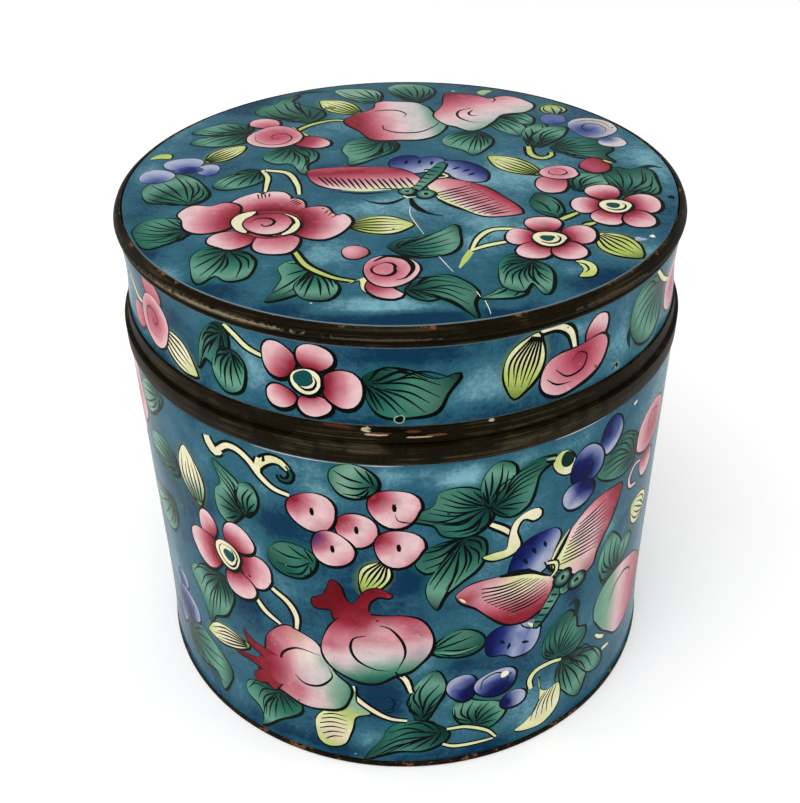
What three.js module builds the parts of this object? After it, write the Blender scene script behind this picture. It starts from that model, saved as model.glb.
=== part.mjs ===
// A round enamelled copper jar with a lift-off lid, standing on its foot.
// Millimetres, +Z up. The origin is the centre of the underside and Z is the axis of the round.
// Every piece is a closed profile turned about the axis, and neighbours stay FIT_GAP apart.

import * as THREE from 'three';

// Driving dimensions of the whole jar
const SIDES = 72;
const SHEET = 1.6;              // copper sheet with its enamel on both faces
const METAL = 0.8;              // bare metal strip of the fittings
const FIT_GAP = 0.3;
const JAR_RADIUS = 50.5;        // painted wall of the body
const LID_EDGE_HEIGHT = 97.4;   // top plate's edge above the ground
const MOUTH_HEIGHT = 77.2;      // ledge that the lid comes down on

// Foot ring
const FOOT_HEIGHT = 1.3;
const FOOT_RADIUS = 51.2;
const FOOT_WIDTH = 2.0;
const FOOT_BEVEL = 0.3;
const FOOT_TAPER = 0.1;         // the ring's top is this much narrower than its widest

// Body wall, given as how far it stands out from JAR_RADIUS
const WALL_FLARE = 0.5;         // at the foot
const FLARE_HEIGHT = 12;
const WALL_TOP_SPREAD = 0.1;    // under the strap
const FLOOR_THICKNESS = 1.8;
const FLOOR_FILLET = 2.0;
const FILLET_MIDDLE = 0.3;      // middle of the fillet, as a share of its size
const STRAP_REBATE = 0.6;       // the wall is set back behind the strap

// Mouth band and the neck inside it
const MOUTH_STRAP_HEIGHT = 3.4;
const MOUTH_STRAP_PROUD = 0.4;
const NECK_RADIUS = 47.1;
const NECK_RISE = 6.8;          // neck above the ledge, hidden in the lid

// Lid band, its strap and its top moulding
const LID_WAIST_RADIUS = 49.1;
const LID_WAIST_HEIGHT = 87.3;
const LID_SHOULDER_RADIUS = 49.4;
const LID_SKIRT_RADIUS = 49.6;
const LID_STRAP_HEIGHT = 2.7;
const LID_STRAP_TOP_RADIUS = 49.9;
const LID_STRAP_LOW_RADIUS = 50.2;
const LID_CORNER = 1.0;         // inside corner under the plate
const PLATE_RADIUS = 48.3;
const PLATE_FLAT_RADIUS = 40;
const PLATE_CROWN = 0.5;
const MOULDING_HEIGHT = 3.0;
const MOULDING_RADIUS = 50.0;
const MOULDING_BEAD_DROP = 1.5;
const MOULDING_FOOT_RADIUS = 49.55;
const MOULDING_FOOT_RISE = 0.35;
const MOULDING_SOFTENING = 0.1; // how far the ridges' corners are rounded back
const MOULDING_RIDGE_RISE = 0.3;
const MOULDING_CREST_RISE = 0.55;
const MOULDING_CREST_BACK = 0.25;
const MOULDING_LIP = 0.3;

// Heights that follow from those above
const bodyBottom = FOOT_HEIGHT + FIT_GAP;
const floorTop = bodyBottom + FLOOR_THICKNESS;
const mouthStrapBottom = MOUTH_HEIGHT - MOUTH_STRAP_HEIGHT;
const lidBottom = MOUTH_HEIGHT + FIT_GAP;
const lidStrapTop = lidBottom + LID_STRAP_HEIGHT;
const mouldingBottom = LID_EDGE_HEIGHT - MOULDING_HEIGHT;

const enamelPaint = { color: 0x2f6377, roughness: 0.22, metalness: 0.0 };
const bronze = { color: 0x2b2115, roughness: 0.45, metalness: 0.8 };

// One point of a profile: radius from the axis and height above the ground
function at(radius, height) {
  return new THREE.Vector2(radius, height);
}

// Smooth stretch of a profile through a few stations, without its first point
function smooth(stations, steps) {
  return new THREE.SplineCurve(stations).getPoints(steps).slice(1);
}

// A profile runs anticlockwise, with the axis on its left, and is closed here
function turnedMesh(name, profile, finish) {
  const closed = [...profile, profile[0].clone()];
  const geometry = new THREE.LatheGeometry(closed, SIDES);
  geometry.rotateX(Math.PI / 2);
  const mesh = new THREE.Mesh(geometry, new THREE.MeshStandardMaterial(finish));
  mesh.name = name;
  return mesh;
}

// Thin metal edge under the wall, with its outer corners taken off
function footRing() {
  const inner = FOOT_RADIUS - FOOT_WIDTH;
  const profile = [
    at(inner, 0),
    at(FOOT_RADIUS - FOOT_BEVEL, 0),
    at(FOOT_RADIUS, FOOT_BEVEL),
    at(FOOT_RADIUS - FOOT_TAPER, FOOT_HEIGHT),
    at(inner, FOOT_HEIGHT),
  ];
  return turnedMesh('foot_ring', profile, bronze);
}

// Hollow vessel: a floor, a wall that flares a little at the foot, and a rebate for the strap
function jarBody() {
  const wallTop = MOUTH_HEIGHT - METAL - FIT_GAP;
  const paintTop = mouthStrapBottom - FIT_GAP;
  const inner = JAR_RADIUS - SHEET;
  const filletMiddle = FLOOR_FILLET * FILLET_MIDDLE;
  const start = at(JAR_RADIUS + WALL_FLARE, bodyBottom);
  const wall = smooth([
    start,
    at(JAR_RADIUS, bodyBottom + FLARE_HEIGHT),
    at(JAR_RADIUS, (bodyBottom + paintTop) / 2),
    at(JAR_RADIUS + WALL_TOP_SPREAD, paintTop),
  ], 6);
  const profile = [
    at(0, bodyBottom),
    start,
    ...wall,
    at(JAR_RADIUS - STRAP_REBATE, paintTop),
    at(JAR_RADIUS - STRAP_REBATE, wallTop),
    at(inner, wallTop),
    at(inner, floorTop + FLOOR_FILLET),
    at(inner - filletMiddle, floorTop + filletMiddle),
    at(inner - FLOOR_FILLET, floorTop),
    at(0, floorTop),
  ];
  return turnedMesh('jar_body', profile, enamelPaint);
}

// Strap, ledge and neck folded from one strip
function mouthBand() {
  const strapOuter = JAR_RADIUS + MOUTH_STRAP_PROUD;
  const strapInner = JAR_RADIUS - STRAP_REBATE + FIT_GAP;
  const ledgeUnder = MOUTH_HEIGHT - METAL;
  const neckTop = MOUTH_HEIGHT + NECK_RISE;
  const profile = [
    at(strapInner, mouthStrapBottom),
    at(strapOuter, mouthStrapBottom),
    at(strapOuter, MOUTH_HEIGHT),
    at(NECK_RADIUS, MOUTH_HEIGHT),
    at(NECK_RADIUS, neckTop),
    at(NECK_RADIUS - METAL, neckTop),
    at(NECK_RADIUS - METAL, ledgeUnder),
    at(strapInner, ledgeUnder),
  ];
  return turnedMesh('mouth_band', profile, bronze);
}

// Hollow cap: a waisted side band under a nearly flat plate
function lid() {
  const inner = LID_WAIST_RADIUS - SHEET;
  const bandBottom = lidStrapTop + FIT_GAP;
  const bandTop = mouldingBottom - FIT_GAP;
  const start = at(LID_SKIRT_RADIUS, bandBottom);
  const band = smooth([
    start,
    at(LID_WAIST_RADIUS, LID_WAIST_HEIGHT),
    at(LID_SHOULDER_RADIUS, bandTop),
  ], 6);
  const crown = LID_EDGE_HEIGHT + PLATE_CROWN;
  const profile = [
    at(LID_WAIST_RADIUS, lidBottom),
    at(LID_WAIST_RADIUS, bandBottom),
    start,
    ...band,
    at(PLATE_RADIUS, bandTop),
    at(PLATE_RADIUS, LID_EDGE_HEIGHT),
    at(PLATE_FLAT_RADIUS, crown),
    at(0, crown),
    at(0, crown - SHEET),
    at(PLATE_FLAT_RADIUS, crown - SHEET),
    at(inner, LID_EDGE_HEIGHT - SHEET - LID_CORNER),
    at(inner, lidBottom),
  ];
  return turnedMesh('lid', profile, enamelPaint);
}

// Bead that covers the lid's top corner: a rounded ridge, a groove and a small foot
function lidTopMoulding() {
  const inner = PLATE_RADIUS + FIT_GAP;
  const beadHeight = LID_EDGE_HEIGHT - MOULDING_BEAD_DROP;
  const grooveHeight = (beadHeight + mouldingBottom) / 2;
  const profile = [
    at(inner, mouldingBottom),
    at(MOULDING_FOOT_RADIUS, mouldingBottom),
    at(MOULDING_FOOT_RADIUS + MOULDING_SOFTENING, mouldingBottom + MOULDING_FOOT_RISE),
    at(MOULDING_FOOT_RADIUS - MOULDING_SOFTENING, grooveHeight - MOULDING_SOFTENING),
    at(MOULDING_RADIUS - MOULDING_SOFTENING, beadHeight - MOULDING_RIDGE_RISE),
    at(MOULDING_RADIUS, beadHeight),
    at(MOULDING_RADIUS - MOULDING_CREST_BACK, beadHeight + MOULDING_CREST_RISE),
    at(inner + MOULDING_LIP, LID_EDGE_HEIGHT - MOULDING_SOFTENING),
    at(inner, LID_EDGE_HEIGHT),
  ];
  return turnedMesh('lid_top_moulding', profile, bronze);
}

// Strap round the lid's lower edge, leaning outwards as it comes down
function lidLowerBand() {
  const inner = LID_WAIST_RADIUS + FIT_GAP;
  const profile = [
    at(inner, lidBottom),
    at(LID_STRAP_LOW_RADIUS, lidBottom),
    at(LID_STRAP_TOP_RADIUS, lidStrapTop),
    at(inner, lidStrapTop),
  ];
  return turnedMesh('lid_lower_band', profile, bronze);
}

const body = new THREE.Group();
body.add(footRing(), jarBody(), mouthBand());

const cap = new THREE.Group();
cap.add(lid(), lidTopMoulding(), lidLowerBand());

const jar = new THREE.Group();
jar.add(body, cap);

export default jar;
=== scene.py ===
# Blender 4.5 scene of a round painted enamel jar with a lift-off lid and dark bare metal straps.
# The paint is cut flush into the enamel's own surface: flat shapes in millimetres, laid over each other
# on the unrolled wall, the lid's band and the lid's top, then wrapped round the jar.

import math

import bmesh
import bpy
import numpy as np
from numpy.linalg import norm
from mathutils import Matrix, Vector
from mathutils.geometry import delaunay_2d_cdt


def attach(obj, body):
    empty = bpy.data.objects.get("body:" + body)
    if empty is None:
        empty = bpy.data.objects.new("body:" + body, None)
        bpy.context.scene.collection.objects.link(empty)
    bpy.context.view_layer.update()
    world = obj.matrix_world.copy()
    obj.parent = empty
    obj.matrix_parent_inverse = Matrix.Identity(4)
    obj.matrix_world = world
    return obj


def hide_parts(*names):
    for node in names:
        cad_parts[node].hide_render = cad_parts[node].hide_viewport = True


bl_info = {
    "name": "Painted Enamel Jar",
    "version": (1, 0, 0),
    "blender": (4, 5, 0),
    "location": "View3D > Sidebar > Enamel Jar",
    "description": "Builds a round enamelled copper jar, its lid, its bare metal fittings and a plain studio",
    "category": "Object",
}

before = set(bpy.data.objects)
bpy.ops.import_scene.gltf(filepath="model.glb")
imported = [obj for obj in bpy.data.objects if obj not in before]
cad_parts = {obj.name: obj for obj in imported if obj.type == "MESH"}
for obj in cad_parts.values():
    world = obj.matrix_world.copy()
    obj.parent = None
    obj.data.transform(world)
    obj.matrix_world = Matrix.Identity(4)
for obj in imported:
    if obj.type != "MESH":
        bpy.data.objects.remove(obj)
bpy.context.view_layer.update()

MM = 0.001
TURN = 2 * math.pi

# Sizes of the enamelled walls, in millimetres
ROUND_STEPS = 144
WALL_RADIUS = 50.5
WALL_STATIONS = ((1.6, 51.0), (13.6, 50.5), (37.5, 50.5), (73.5, 50.6))
SHEET = 1.6
WALL_INNER_RADIUS = 48.9
WALL_TOP = 76.1
REBATE_RADIUS = 49.9
FLOOR_TOP = 3.4
FLOOR_FILLET = 2.0
FILLET_MIDDLE_SHARE = 0.3
BAND_RADIUS = 49.2
BAND_STATIONS = ((80.5, 49.6), (87.3, 49.1), (94.1, 49.4))
LID_BOTTOM = 77.5
LID_BACK_RADIUS = 49.1
LID_INNER_RADIUS = 47.5
PLATE_RADIUS = 48.3
PLATE_EDGE = 97.4
PLATE_FLAT_RADIUS = 40
PLATE_CROWN = 0.5
PLATE_UNDERSIDE = 96.3
PLATE_CORNER = 1.0

# Profiles of the bare metal, as (radius, height) in millimetres
METAL_STEPS = 180
FOOT_PROFILE = ((49.2, 0.0), (51.0, 0.0), (51.2, 0.35), (51.15, 0.9), (51.0, 1.3), (49.2, 1.3))
MOUTH_PROFILE = (
    (50.2, 73.8), (50.9, 73.8), (50.9, 77.2), (47.1, 77.2),
    (47.1, 84.0), (46.3, 84.0), (46.3, 76.4), (50.2, 76.4),
)
MOULDING_PROFILE = (
    (48.6, 94.4), (49.5, 94.4), (49.62, 94.55), (49.62, 94.78), (49.5, 94.9), (49.42, 95.05),
    (49.5, 95.25), (49.78, 95.42), (49.96, 95.66), (50.0, 95.9), (49.94, 96.18), (49.78, 96.45),
    (49.66, 96.56), (49.7, 96.66), (49.6, 96.9), (49.35, 97.12), (49.0, 97.3), (48.75, 97.38), (48.6, 97.36),
)
LID_STRAP_PROFILE = ((49.4, 77.5), (50.2, 77.5), (49.9, 80.2), (49.4, 80.2))
METAL_CORNER = 0.12
STRAP_RADIUS = 50.1

# Edges that bend less than this are shaded round
SHARP_EDGE = math.radians(32)

# Camera, measured from the photograph's rings
CAMERA_LENS = 50.76
CAMERA_PLACE = (0.0, -185.3, 183.0)
CAMERA_PITCH = 0.6257
CAMERA_ROLL = -0.0157
CAMERA_YAW = -0.0029
SENSOR_HEIGHT = 36

# How far the painted shapes stay inside the edge of an unrolled wall and of the lid's top
WALL_MARGIN = 0.06
TOP_MARGIN = 0.08

# Widths of brush strokes in millimetres
INK_LINE = 0.44
LEAF_INK = 0.36
VEIN = 0.45
FINE_VEIN = 0.37
BUD_STRIPE = 0.46
PETAL_INK = 0.46
FRUIT_INK = 0.45
SWIRL = 0.56

# Shares of a stroke over which it swells and thins again
SWELL_IN = 0.3
SWELL_OUT = 0.45

# The UV chart's margin and the width of its rows
CHART_EDGE = 0.01
CHART_WIDTH = 0.98
CHART_TOP_WIDTH = 0.7

# How strongly the surfaces shine, and the floor's own faint glow
ENAMEL_SHINE = 0.03
METAL_SHINE = 0.03
METAL_SHARE = 0.15
FLOOR_GLOW = 0.12


def tint(red, green, blue):
    """Linear colour from the 0 to 255 values of a picture editor."""
    shares = (red / 255, green / 255, blue / 255)
    return tuple(v / 12.92 if v < 0.04 else ((v + 0.055) / 1.055) ** 2.4 for v in shares)


# Enamel colours of the painting
INK = tint(0, 5, 4)
WHITE = tint(238, 232, 214)
IVORY = tint(232, 226, 190)
CREAM = tint(222, 224, 168)
LIME = tint(182, 198, 104)
OLIVE = tint(108, 128, 56)
WINE = tint(104, 8, 22)
CRIMSON = tint(134, 26, 42)
ROSE = tint(177, 74, 95)
PINK = tint(206, 132, 143)
BLUSH = tint(226, 190, 192)
PINE = tint(2, 38, 34)
LEAF = tint(16, 74, 64)
JADE = tint(46, 112, 94)
MINT = tint(102, 154, 132)
SAGE = tint(132, 168, 144)
TEAL = tint(14, 76, 76)
COBALT = tint(2, 10, 74)
IRIS = tint(26, 44, 112)
LILAC = tint(90, 104, 158)
HAZE = tint(164, 172, 196)
MILK = tint(204, 196, 196)
BLEED = tint(22, 88, 92)
COUNTER_ENAMEL = tint(150, 178, 180)
WATER = tint(244, 226, 220)
DARK_SPECK = tint(20, 32, 40)
LIGHT_SPECK = tint(205, 220, 222)
DARK_SKIN = (0.009, 0.006, 0.002)

# Sets of them from the base of a leaf or petal to its edge
DARK_LEAF = (PINE, LEAF, JADE, LEAF, PINE)
FRESH_LEAF = (PINE, LEAF, JADE, MINT, LEAF)
EVEN_LEAF = (PINE, LEAF, JADE, LEAF, LEAF)
SOFT_LEAF = (LEAF, JADE, LEAF, LEAF)
PALE_LEAF = (LEAF, JADE, SAGE, LEAF)
EDGED_LEAF = (PINE, LEAF, JADE, MINT, PINE)
FRESH_BUD = (OLIVE, LIME, CREAM, LIME)
RIPE_BUD = (CREAM, CREAM, LIME, OLIVE)
LIGHT_PETAL = (CRIMSON, ROSE, PINK, BLUSH)
SMALL_PETAL = (CRIMSON, ROSE, PINK)
FULL_PETAL = (WINE, WINE, CRIMSON, ROSE, PINK, BLUSH, BLUSH)
DEEP_PETAL = (WINE, WINE, WINE, CRIMSON, ROSE, PINK, BLUSH, BLUSH)


# Settings that a user would change


class EnamelSettings(bpy.types.PropertyGroup):
    """Colours and gloss of the enamel"""

    ground: bpy.props.FloatVectorProperty(
        name="Ground", description="Blue of the ground between the flowers",
        default=tint(44, 92, 110), size=3, min=0, max=1, subtype="COLOR",
    )
    # Cloud and Deep also give the colour of the painted highlights, painted reflection and painted shade
    # among the ground's tone patches.
    cloud: bpy.props.FloatVectorProperty(
        name="Cloud", description="Light blue where the ground is thin",
        default=tint(116, 164, 176), size=3, min=0, max=1, subtype="COLOR",
    )
    deep: bpy.props.FloatVectorProperty(
        name="Deep", description="Blue where the ground is thick",
        default=tint(5, 46, 72), size=3, min=0, max=1, subtype="COLOR",
    )
    gloss: bpy.props.FloatProperty(
        name="Roughness", description="How dull the fired surface is",
        default=0.24, min=0, max=1, subtype="FACTOR",
    )


class MetalSettings(bpy.types.PropertyGroup):
    """Colours of the bare metal"""

    bronze: bpy.props.FloatVectorProperty(
        name="Bronze", description="Dark skin of the straps and mouldings",
        default=tint(15, 10, 2), size=3, min=0, max=1, subtype="COLOR",
    )
    rubbed: bpy.props.FloatVectorProperty(
        name="Rubbed", description="Lighter metal on rubbed ridges",
        default=tint(96, 86, 62), size=3, min=0, max=1, subtype="COLOR",
    )
    copper: bpy.props.FloatVectorProperty(
        name="Copper", description="Orange brown copper where the skin has gone",
        default=tint(112, 66, 42), size=3, min=0, max=1, subtype="COLOR",
    )
    steps: bpy.props.IntProperty(
        name="Steps", description="Faces round each metal ring", default=METAL_STEPS, min=36, max=360,
    )


class StudioSettings(bpy.types.PropertyGroup):
    """Floor, light and camera"""

    floor: bpy.props.FloatVectorProperty(
        name="Floor", description="Colour of the plain floor",
        default=(0.94, 0.94, 0.94), size=3, min=0, max=1, subtype="COLOR",
    )
    key_power: bpy.props.FloatProperty(
        name="Key light", description="Power of the big light above and in front",
        default=6.0, min=0, unit="POWER",
    )
    side_power: bpy.props.FloatProperty(
        name="Side light", description="Power of each side light", default=1.7, min=0, unit="POWER",
    )
    room_light: bpy.props.FloatProperty(
        name="Room light", description="Strength of the even light from all round", default=0.66, min=0,
    )
    lens: bpy.props.FloatProperty(
        name="Lens", description="Focal length", default=CAMERA_LENS, min=10, max=300, unit="CAMERA",
    )


# Flat painting


def curve(points, closed=False, step=0.8):
    """Points of a smooth line through the given ones, about a step apart."""
    through = np.asarray(points, float)
    if closed:
        before, starts, ends, beyond = (np.roll(through, shift, 0) for shift in (1, 0, -1, -2))
    else:
        padded = np.vstack([2 * through[0] - through[1], through, 2 * through[-1] - through[-2]])
        before, starts, ends, beyond = padded[:-3], padded[1:-2], padded[2:-1], padded[3:]
    line = []
    for a, b, c, d in zip(before, starts, ends, beyond):
        count = max(2, int(round(norm(c - b) / step)))
        t = (np.arange(count) / count)[:, None]
        second = 2 * a - 5 * b + 4 * c - d
        third = 3 * b - a - 3 * c + d
        line.append(0.5 * (2 * b + (c - a) * t + second * t**2 + third * t**3))
    if not closed:
        line.append(through[-1:])
    return np.vstack(line)


def unit(rows, least=1e-9):
    """Vectors in rows, each brought to a length of one."""
    return rows / (norm(rows, axis=1)[:, None] + least)


def heading(outline):
    """Which way a closed outline runs at each point."""
    return unit(np.roll(outline, -1, 0) - np.roll(outline, 1, 0))


def left_of(ahead):
    """A vector turned a quarter round to the left."""
    return np.array([-ahead[1], ahead[0]])


def grown(outline, amount):
    """An anticlockwise outline pushed outwards, by one amount or by one for each point."""
    along = heading(outline)
    outward = np.stack([along[:, 1], -along[:, 0]], 1)
    return outline + outward * np.reshape(amount, (-1, 1))


def area(outline):
    """Area inside an outline, below zero where it runs clockwise."""
    x, y = outline[:, 0], outline[:, 1]
    return 0.5 * float(np.sum(x * np.roll(y, -1) - np.roll(x, -1) * y))


def ring(points):
    """Anticlockwise outline that runs smoothly through the points."""
    outline = curve(points, closed=True)
    return outline[::-1] if area(outline) < 0 else outline


def lens_points(base, tip, width, bend, widest):
    """Outline of a leaf or bud: two sides about a bent midrib, widest at a share of its length."""
    base, tip = np.array(base, float), np.array(tip, float)
    ahead = tip - base
    side = left_of(ahead)
    t = np.linspace(0, 1, 9)[:, None]
    middle = base + ahead * t + side * bend * np.sin(math.pi * t)
    half = 0.5 * width * (1 - abs(2 * t ** (math.log(0.5) / math.log(widest)) - 1) ** 2.2)
    side /= norm(side)
    return np.vstack([middle - side * half, (middle + side * half)[-2:0:-1]])


def blended(shares, colours):
    """Colours at shares of the way from the first of a row of colours to the last."""
    stops = np.array(colours)
    places = np.linspace(0, 1, len(stops))
    return np.stack([np.interp(shares, places, stops[:, k]) for k in range(3)], 1)


def wash(start, end, *colours):
    """Shading that changes along a line, from the first colour at its start to the last at its end."""
    start, end = np.array(start, float), np.array(end, float)
    way = end - start
    return lambda points: blended((points - start) @ way / (way @ way), colours)


def glow(centre, reach, *colours):
    """Shading that changes outwards from a centre, from the first colour to the last at its reach."""
    centre = np.array(centre, float)
    return lambda points: blended(norm((points - centre) / reach, axis=1), colours)


def lit(shade, *patches):
    """Another shading with soft patches on it, each a place, a reach, a colour and an amount."""

    def patched(points):
        colours = shade(points)
        for at, reach, colour, amount in patches:
            share = amount * np.exp(-np.sum((points - np.array(at)) ** 2, axis=1) / reach**2)[:, None]
            colours = colours + share * (np.array(colour) - colours)
        return colours

    return patched


def haze(outline, reach, colour, cover):
    """One colour that thins out with the distance from an outline."""

    def shade(points):
        gaps = norm(points[:, None] - outline[None], axis=2).min(axis=1)
        strength = cover * np.clip(1.15 - gaps / reach, 0, 1)
        return np.column_stack([np.tile(colour, (len(points), 1)), strength])

    return shade


def plain(colour):
    """Shading of one colour."""
    return lambda points: np.tile(colour, (len(points), 1))


class Painting:
    """Flat shapes in millimetres, laid over each other on one face of the jar."""

    def __init__(self, border, low, high, parts, tones, split=False, reach=1000.0):
        self.border = np.asarray(border, float)
        self.low = np.array(low, float)
        self.high = np.array(high, float)
        self.shapes = [self.border]
        self.shades = [None]
        self.patches = tones
        self.split = split
        self.reach = reach
        self.low_count = 0
        self.move(0, 0)
        for part in parts:
            part(self)

    def move(self, along, up, flip=1, scale=1.0):
        """Sets where the next shapes go, mirrored where flip is -1."""
        self.origin = np.array((along, up), float)
        self.spread = np.array((flip * scale, scale), float)

    def lay(self, outline, shade, under=False):
        """Adds a shape on top of the ones before, or under all but the other low ones."""
        origin, spread = self.origin, self.spread
        if not callable(shade):
            shade = plain(shade)
        outline = np.clip(outline * spread + origin, self.low, self.high)
        outline = outline * np.minimum(1, self.reach / (norm(outline, axis=1) + 1e-9))[:, None]
        if abs(area(outline)) < 0.004:
            return
        if area(outline) < 0:
            outline = outline[::-1]
        if under:
            self.low_count += 1
        place = self.low_count if under else len(self.shapes)
        self.shapes.insert(place, outline)
        self.shades.insert(place, lambda points: shade((points - origin) / spread))

    def line(self, points, width=0.4, colour=INK, ends=(0.35, 0.15)):
        """One brush line that swells between its thinner ends."""
        path = curve(points, step=0.7)
        t = np.linspace(0, 1, len(path))
        swell = np.minimum(1, ends[0] + (1 - ends[0]) * t / SWELL_IN)
        swell = swell * np.minimum(1, ends[1] + (1 - ends[1]) * (1 - t) / SWELL_OUT)
        along = unit(np.gradient(path, axis=0))
        side = np.stack([-along[:, 1], along[:, 0]], 1) * (0.5 * width * swell)[:, None]
        for start in range(0, len(path) - 1, 8):
            held = slice(start, start + 9)
            self.lay(np.vstack([(path - side)[held], (path + side)[held][::-1]]), colour)

    def stem(self, points, width=0.9, colour=LIME, ink=INK_LINE):
        """A stalk or scroll in a light colour with ink along both sides."""
        self.stems([(points, width, colour)], ink)

    def stems(self, strokes, ink=INK_LINE):
        """Stalks that run into each other, with ink round them all."""
        for points, width, _ in strokes:
            self.line(points, width + 2.8 * ink, INK, (0.9, 0.7))
        for points, width, colour in strokes:
            self.line(points, width, colour, (0.8, 0.6))

    def inked(self, points, shade, ink=0.5, lean=(0.5, -0.7)):
        """A filled shape with an ink outline, heavier on the side that the brush leant to."""
        outline = ring(points)
        beat = np.arange(len(outline)) + outline[0, 0]
        sway = 0.11 * np.sin(0.55 * beat) + 0.09 * np.sin(0.31 * beat + 1)
        outline = grown(outline, sway * min(1, len(outline) / 36))
        along = heading(outline)
        leaning = along[:, 1] * lean[0] - along[:, 0] * lean[1]
        shake = 0.24 * np.sin(0.6 * beat)
        self.lay(grown(outline, ink * (1.08 + 0.62 * leaning + shake)), INK)
        self.lay(outline, shade)

    def oval(self, at, size, shade, ink=0.42, wobble=0.04, turn=0.0):
        """A rounded spot, a little uneven as a brush leaves it."""
        angles = np.arange(14) / 14 * TURN
        reach = 1 + wobble * np.cos(3 * angles + at[0]) + wobble * 0.6 * np.sin(2 * angles + at[1])
        shape = np.stack([size[0] * reach * np.cos(angles), size[1] * reach * np.sin(angles)], 1)
        turned = np.array([[math.cos(turn), math.sin(turn)], [-math.sin(turn), math.cos(turn)]])
        self.inked(shape @ turned + np.array(at), shade, ink)

    def hatch(self, first, second, count, width=0.36, colour=INK, bow=0.0):
        """Lines side by side from one edge to another."""
        starts, ends = curve(first, step=0.2), curve(second, step=0.2)
        for share in np.linspace(0, 1, count):
            start = starts[int(share * (len(starts) - 1))]
            end = ends[int(share * (len(ends) - 1))]
            middle = (start + end) / 2 + bow * left_of(end - start)
            self.line([start, middle, end], width, colour, (0.6, 0.35))

    def bleed(self, outline, reach, colour, cover):
        """Colour that ran out of a shape into the ground."""
        self.lay(grown(outline, reach), haze(outline, reach, colour, cover), under=True)

    def leaf(self, points, veins=8, tones=FRESH_LEAF, tail=None, bow=0.17, base=None):
        """A leaf with a fan of ink veins from its base or first point, and perhaps a dark curled tail."""
        base = np.array(points[0] if base is None else base, float)
        outline = ring(points)
        away = norm(outline - base, axis=1)
        if tail:
            self.line(tail, 1.3, PINE, (1.0, 0.1))
        self.bleed(outline, 1.5, BLEED, 0.65)
        far = outline[int(np.argmax(away))]
        aside = left_of(far - base) * 0.24 * (1 if base[1] % 2 > 1 else -1)
        pale = (base + 0.62 * (far - base) + aside, 0.3 * away.max(), MINT, 0.45)
        self.inked(points, lit(glow(base, away.max(), *tones), pale), LEAF_INK, (1.0, -0.8))
        ordered = np.roll(outline, -int(np.argmin(away)), 0)
        bend = 0.14 * math.sin(7 * base[0])
        count = round(1.3 * veins)
        for k in range(count):
            share = (k + 0.5) / count
            end = ordered[int(len(ordered) * (0.12 + 0.76 * share))]
            start = base + (0.09 + 0.09 * (k % 3)) * (end - base)
            tip = base + (0.94 - 0.08 * (k % 2)) * (end - base)
            middle = (start + tip) / 2 - (bow * (1 - 2 * share) + bend) * left_of(tip - start)
            self.line([start, middle, tip], VEIN if count < 11 else FINE_VEIN, INK, (0.5, 0.3))

    def bud(self, base, tip, width, tones=FRESH_BUD, stripes=5, bend=0.0):
        """A striped bud, green at its base."""
        points = lens_points(base, tip, width, bend, 0.5)
        self.bleed(ring(points), 1.1, OLIVE, 0.45)
        self.inked(points, wash(base, tip, *tones), LEAF_INK)
        base, tip = np.array(base, float), np.array(tip, float)
        side = left_of(tip - base) / norm(tip - base)
        for k in range(stripes):
            off = (k - (stripes - 1) / 2) / max(1, stripes - 1)
            start = base + 0.06 * (tip - base) + side * off * width * 0.25
            bulge = off * width * 0.72 + bend * norm(tip - base)
            middle = base + 0.45 * (tip - base) + side * bulge
            end = base + (0.84 - 0.1 * (k % 2)) * (tip - base) + side * off * width * 0.5
            self.line([start, middle, end], BUD_STRIPE, INK, (0.7, 0.2))

    def petal(self, points, root, tones=FULL_PETAL):
        """A petal, deep at its root and pale at its edge."""
        far = norm(ring(points) - np.array(root), axis=1).max()
        self.inked(points, glow(root, far, *tones), PETAL_INK)

    def flower(self, eye, size, petals):
        """Round petals about a cream eye with a green spot."""
        for x, y, wide, tall in petals:
            angles = np.arange(12) / 12 * TURN
            ripple = 1 + 0.05 * np.cos(3 * angles + x)
            points = np.stack([x + wide * ripple * np.cos(angles), y + tall * ripple * np.sin(angles)], 1)
            self.petal(points, eye, DEEP_PETAL)
        self.oval(eye, size, IVORY, PETAL_INK)
        self.oval((eye[0] - 0.4, eye[1] + 0.3), (size[0] * 0.36, size[1] * 0.36), TEAL, 0.16)
        arc = [(eye[0] + 0.68 * size[0] * math.cos(a), eye[1] + 0.68 * size[1] * math.sin(a))
            for a in (-2.6, -1.7, -0.8, 0.1, 0.8)]
        self.line(arc, 0.5)

    def fruit(self, points, shade, swirls):
        """A fruit in several colours, with thin swirls on it."""
        self.inked(points, shade, FRUIT_INK)
        for swirl in swirls:
            self.line(swirl, SWIRL)

    def blue_petal(self, at, size, light=(0.4, 0.5)):
        """A blue petal that pales on one side."""
        root = (at[0] - size[0] * light[0], at[1] - size[1] * light[1])
        reach = 1.75 * max(size)
        self.oval(at, size, glow(root, reach, COBALT, COBALT, COBALT, IRIS, LILAC, HAZE, HAZE), 0.4, 0.05)

    def tones(self, points):
        """How light the ground is at each point."""
        total = np.zeros(len(points))
        for x, y, wide, tall, amount in self.patches:
            away = np.sum(((points - (x, y)) / (wide, tall)) ** 2, axis=1)
            total += amount * np.exp(-away)
        return total

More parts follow.
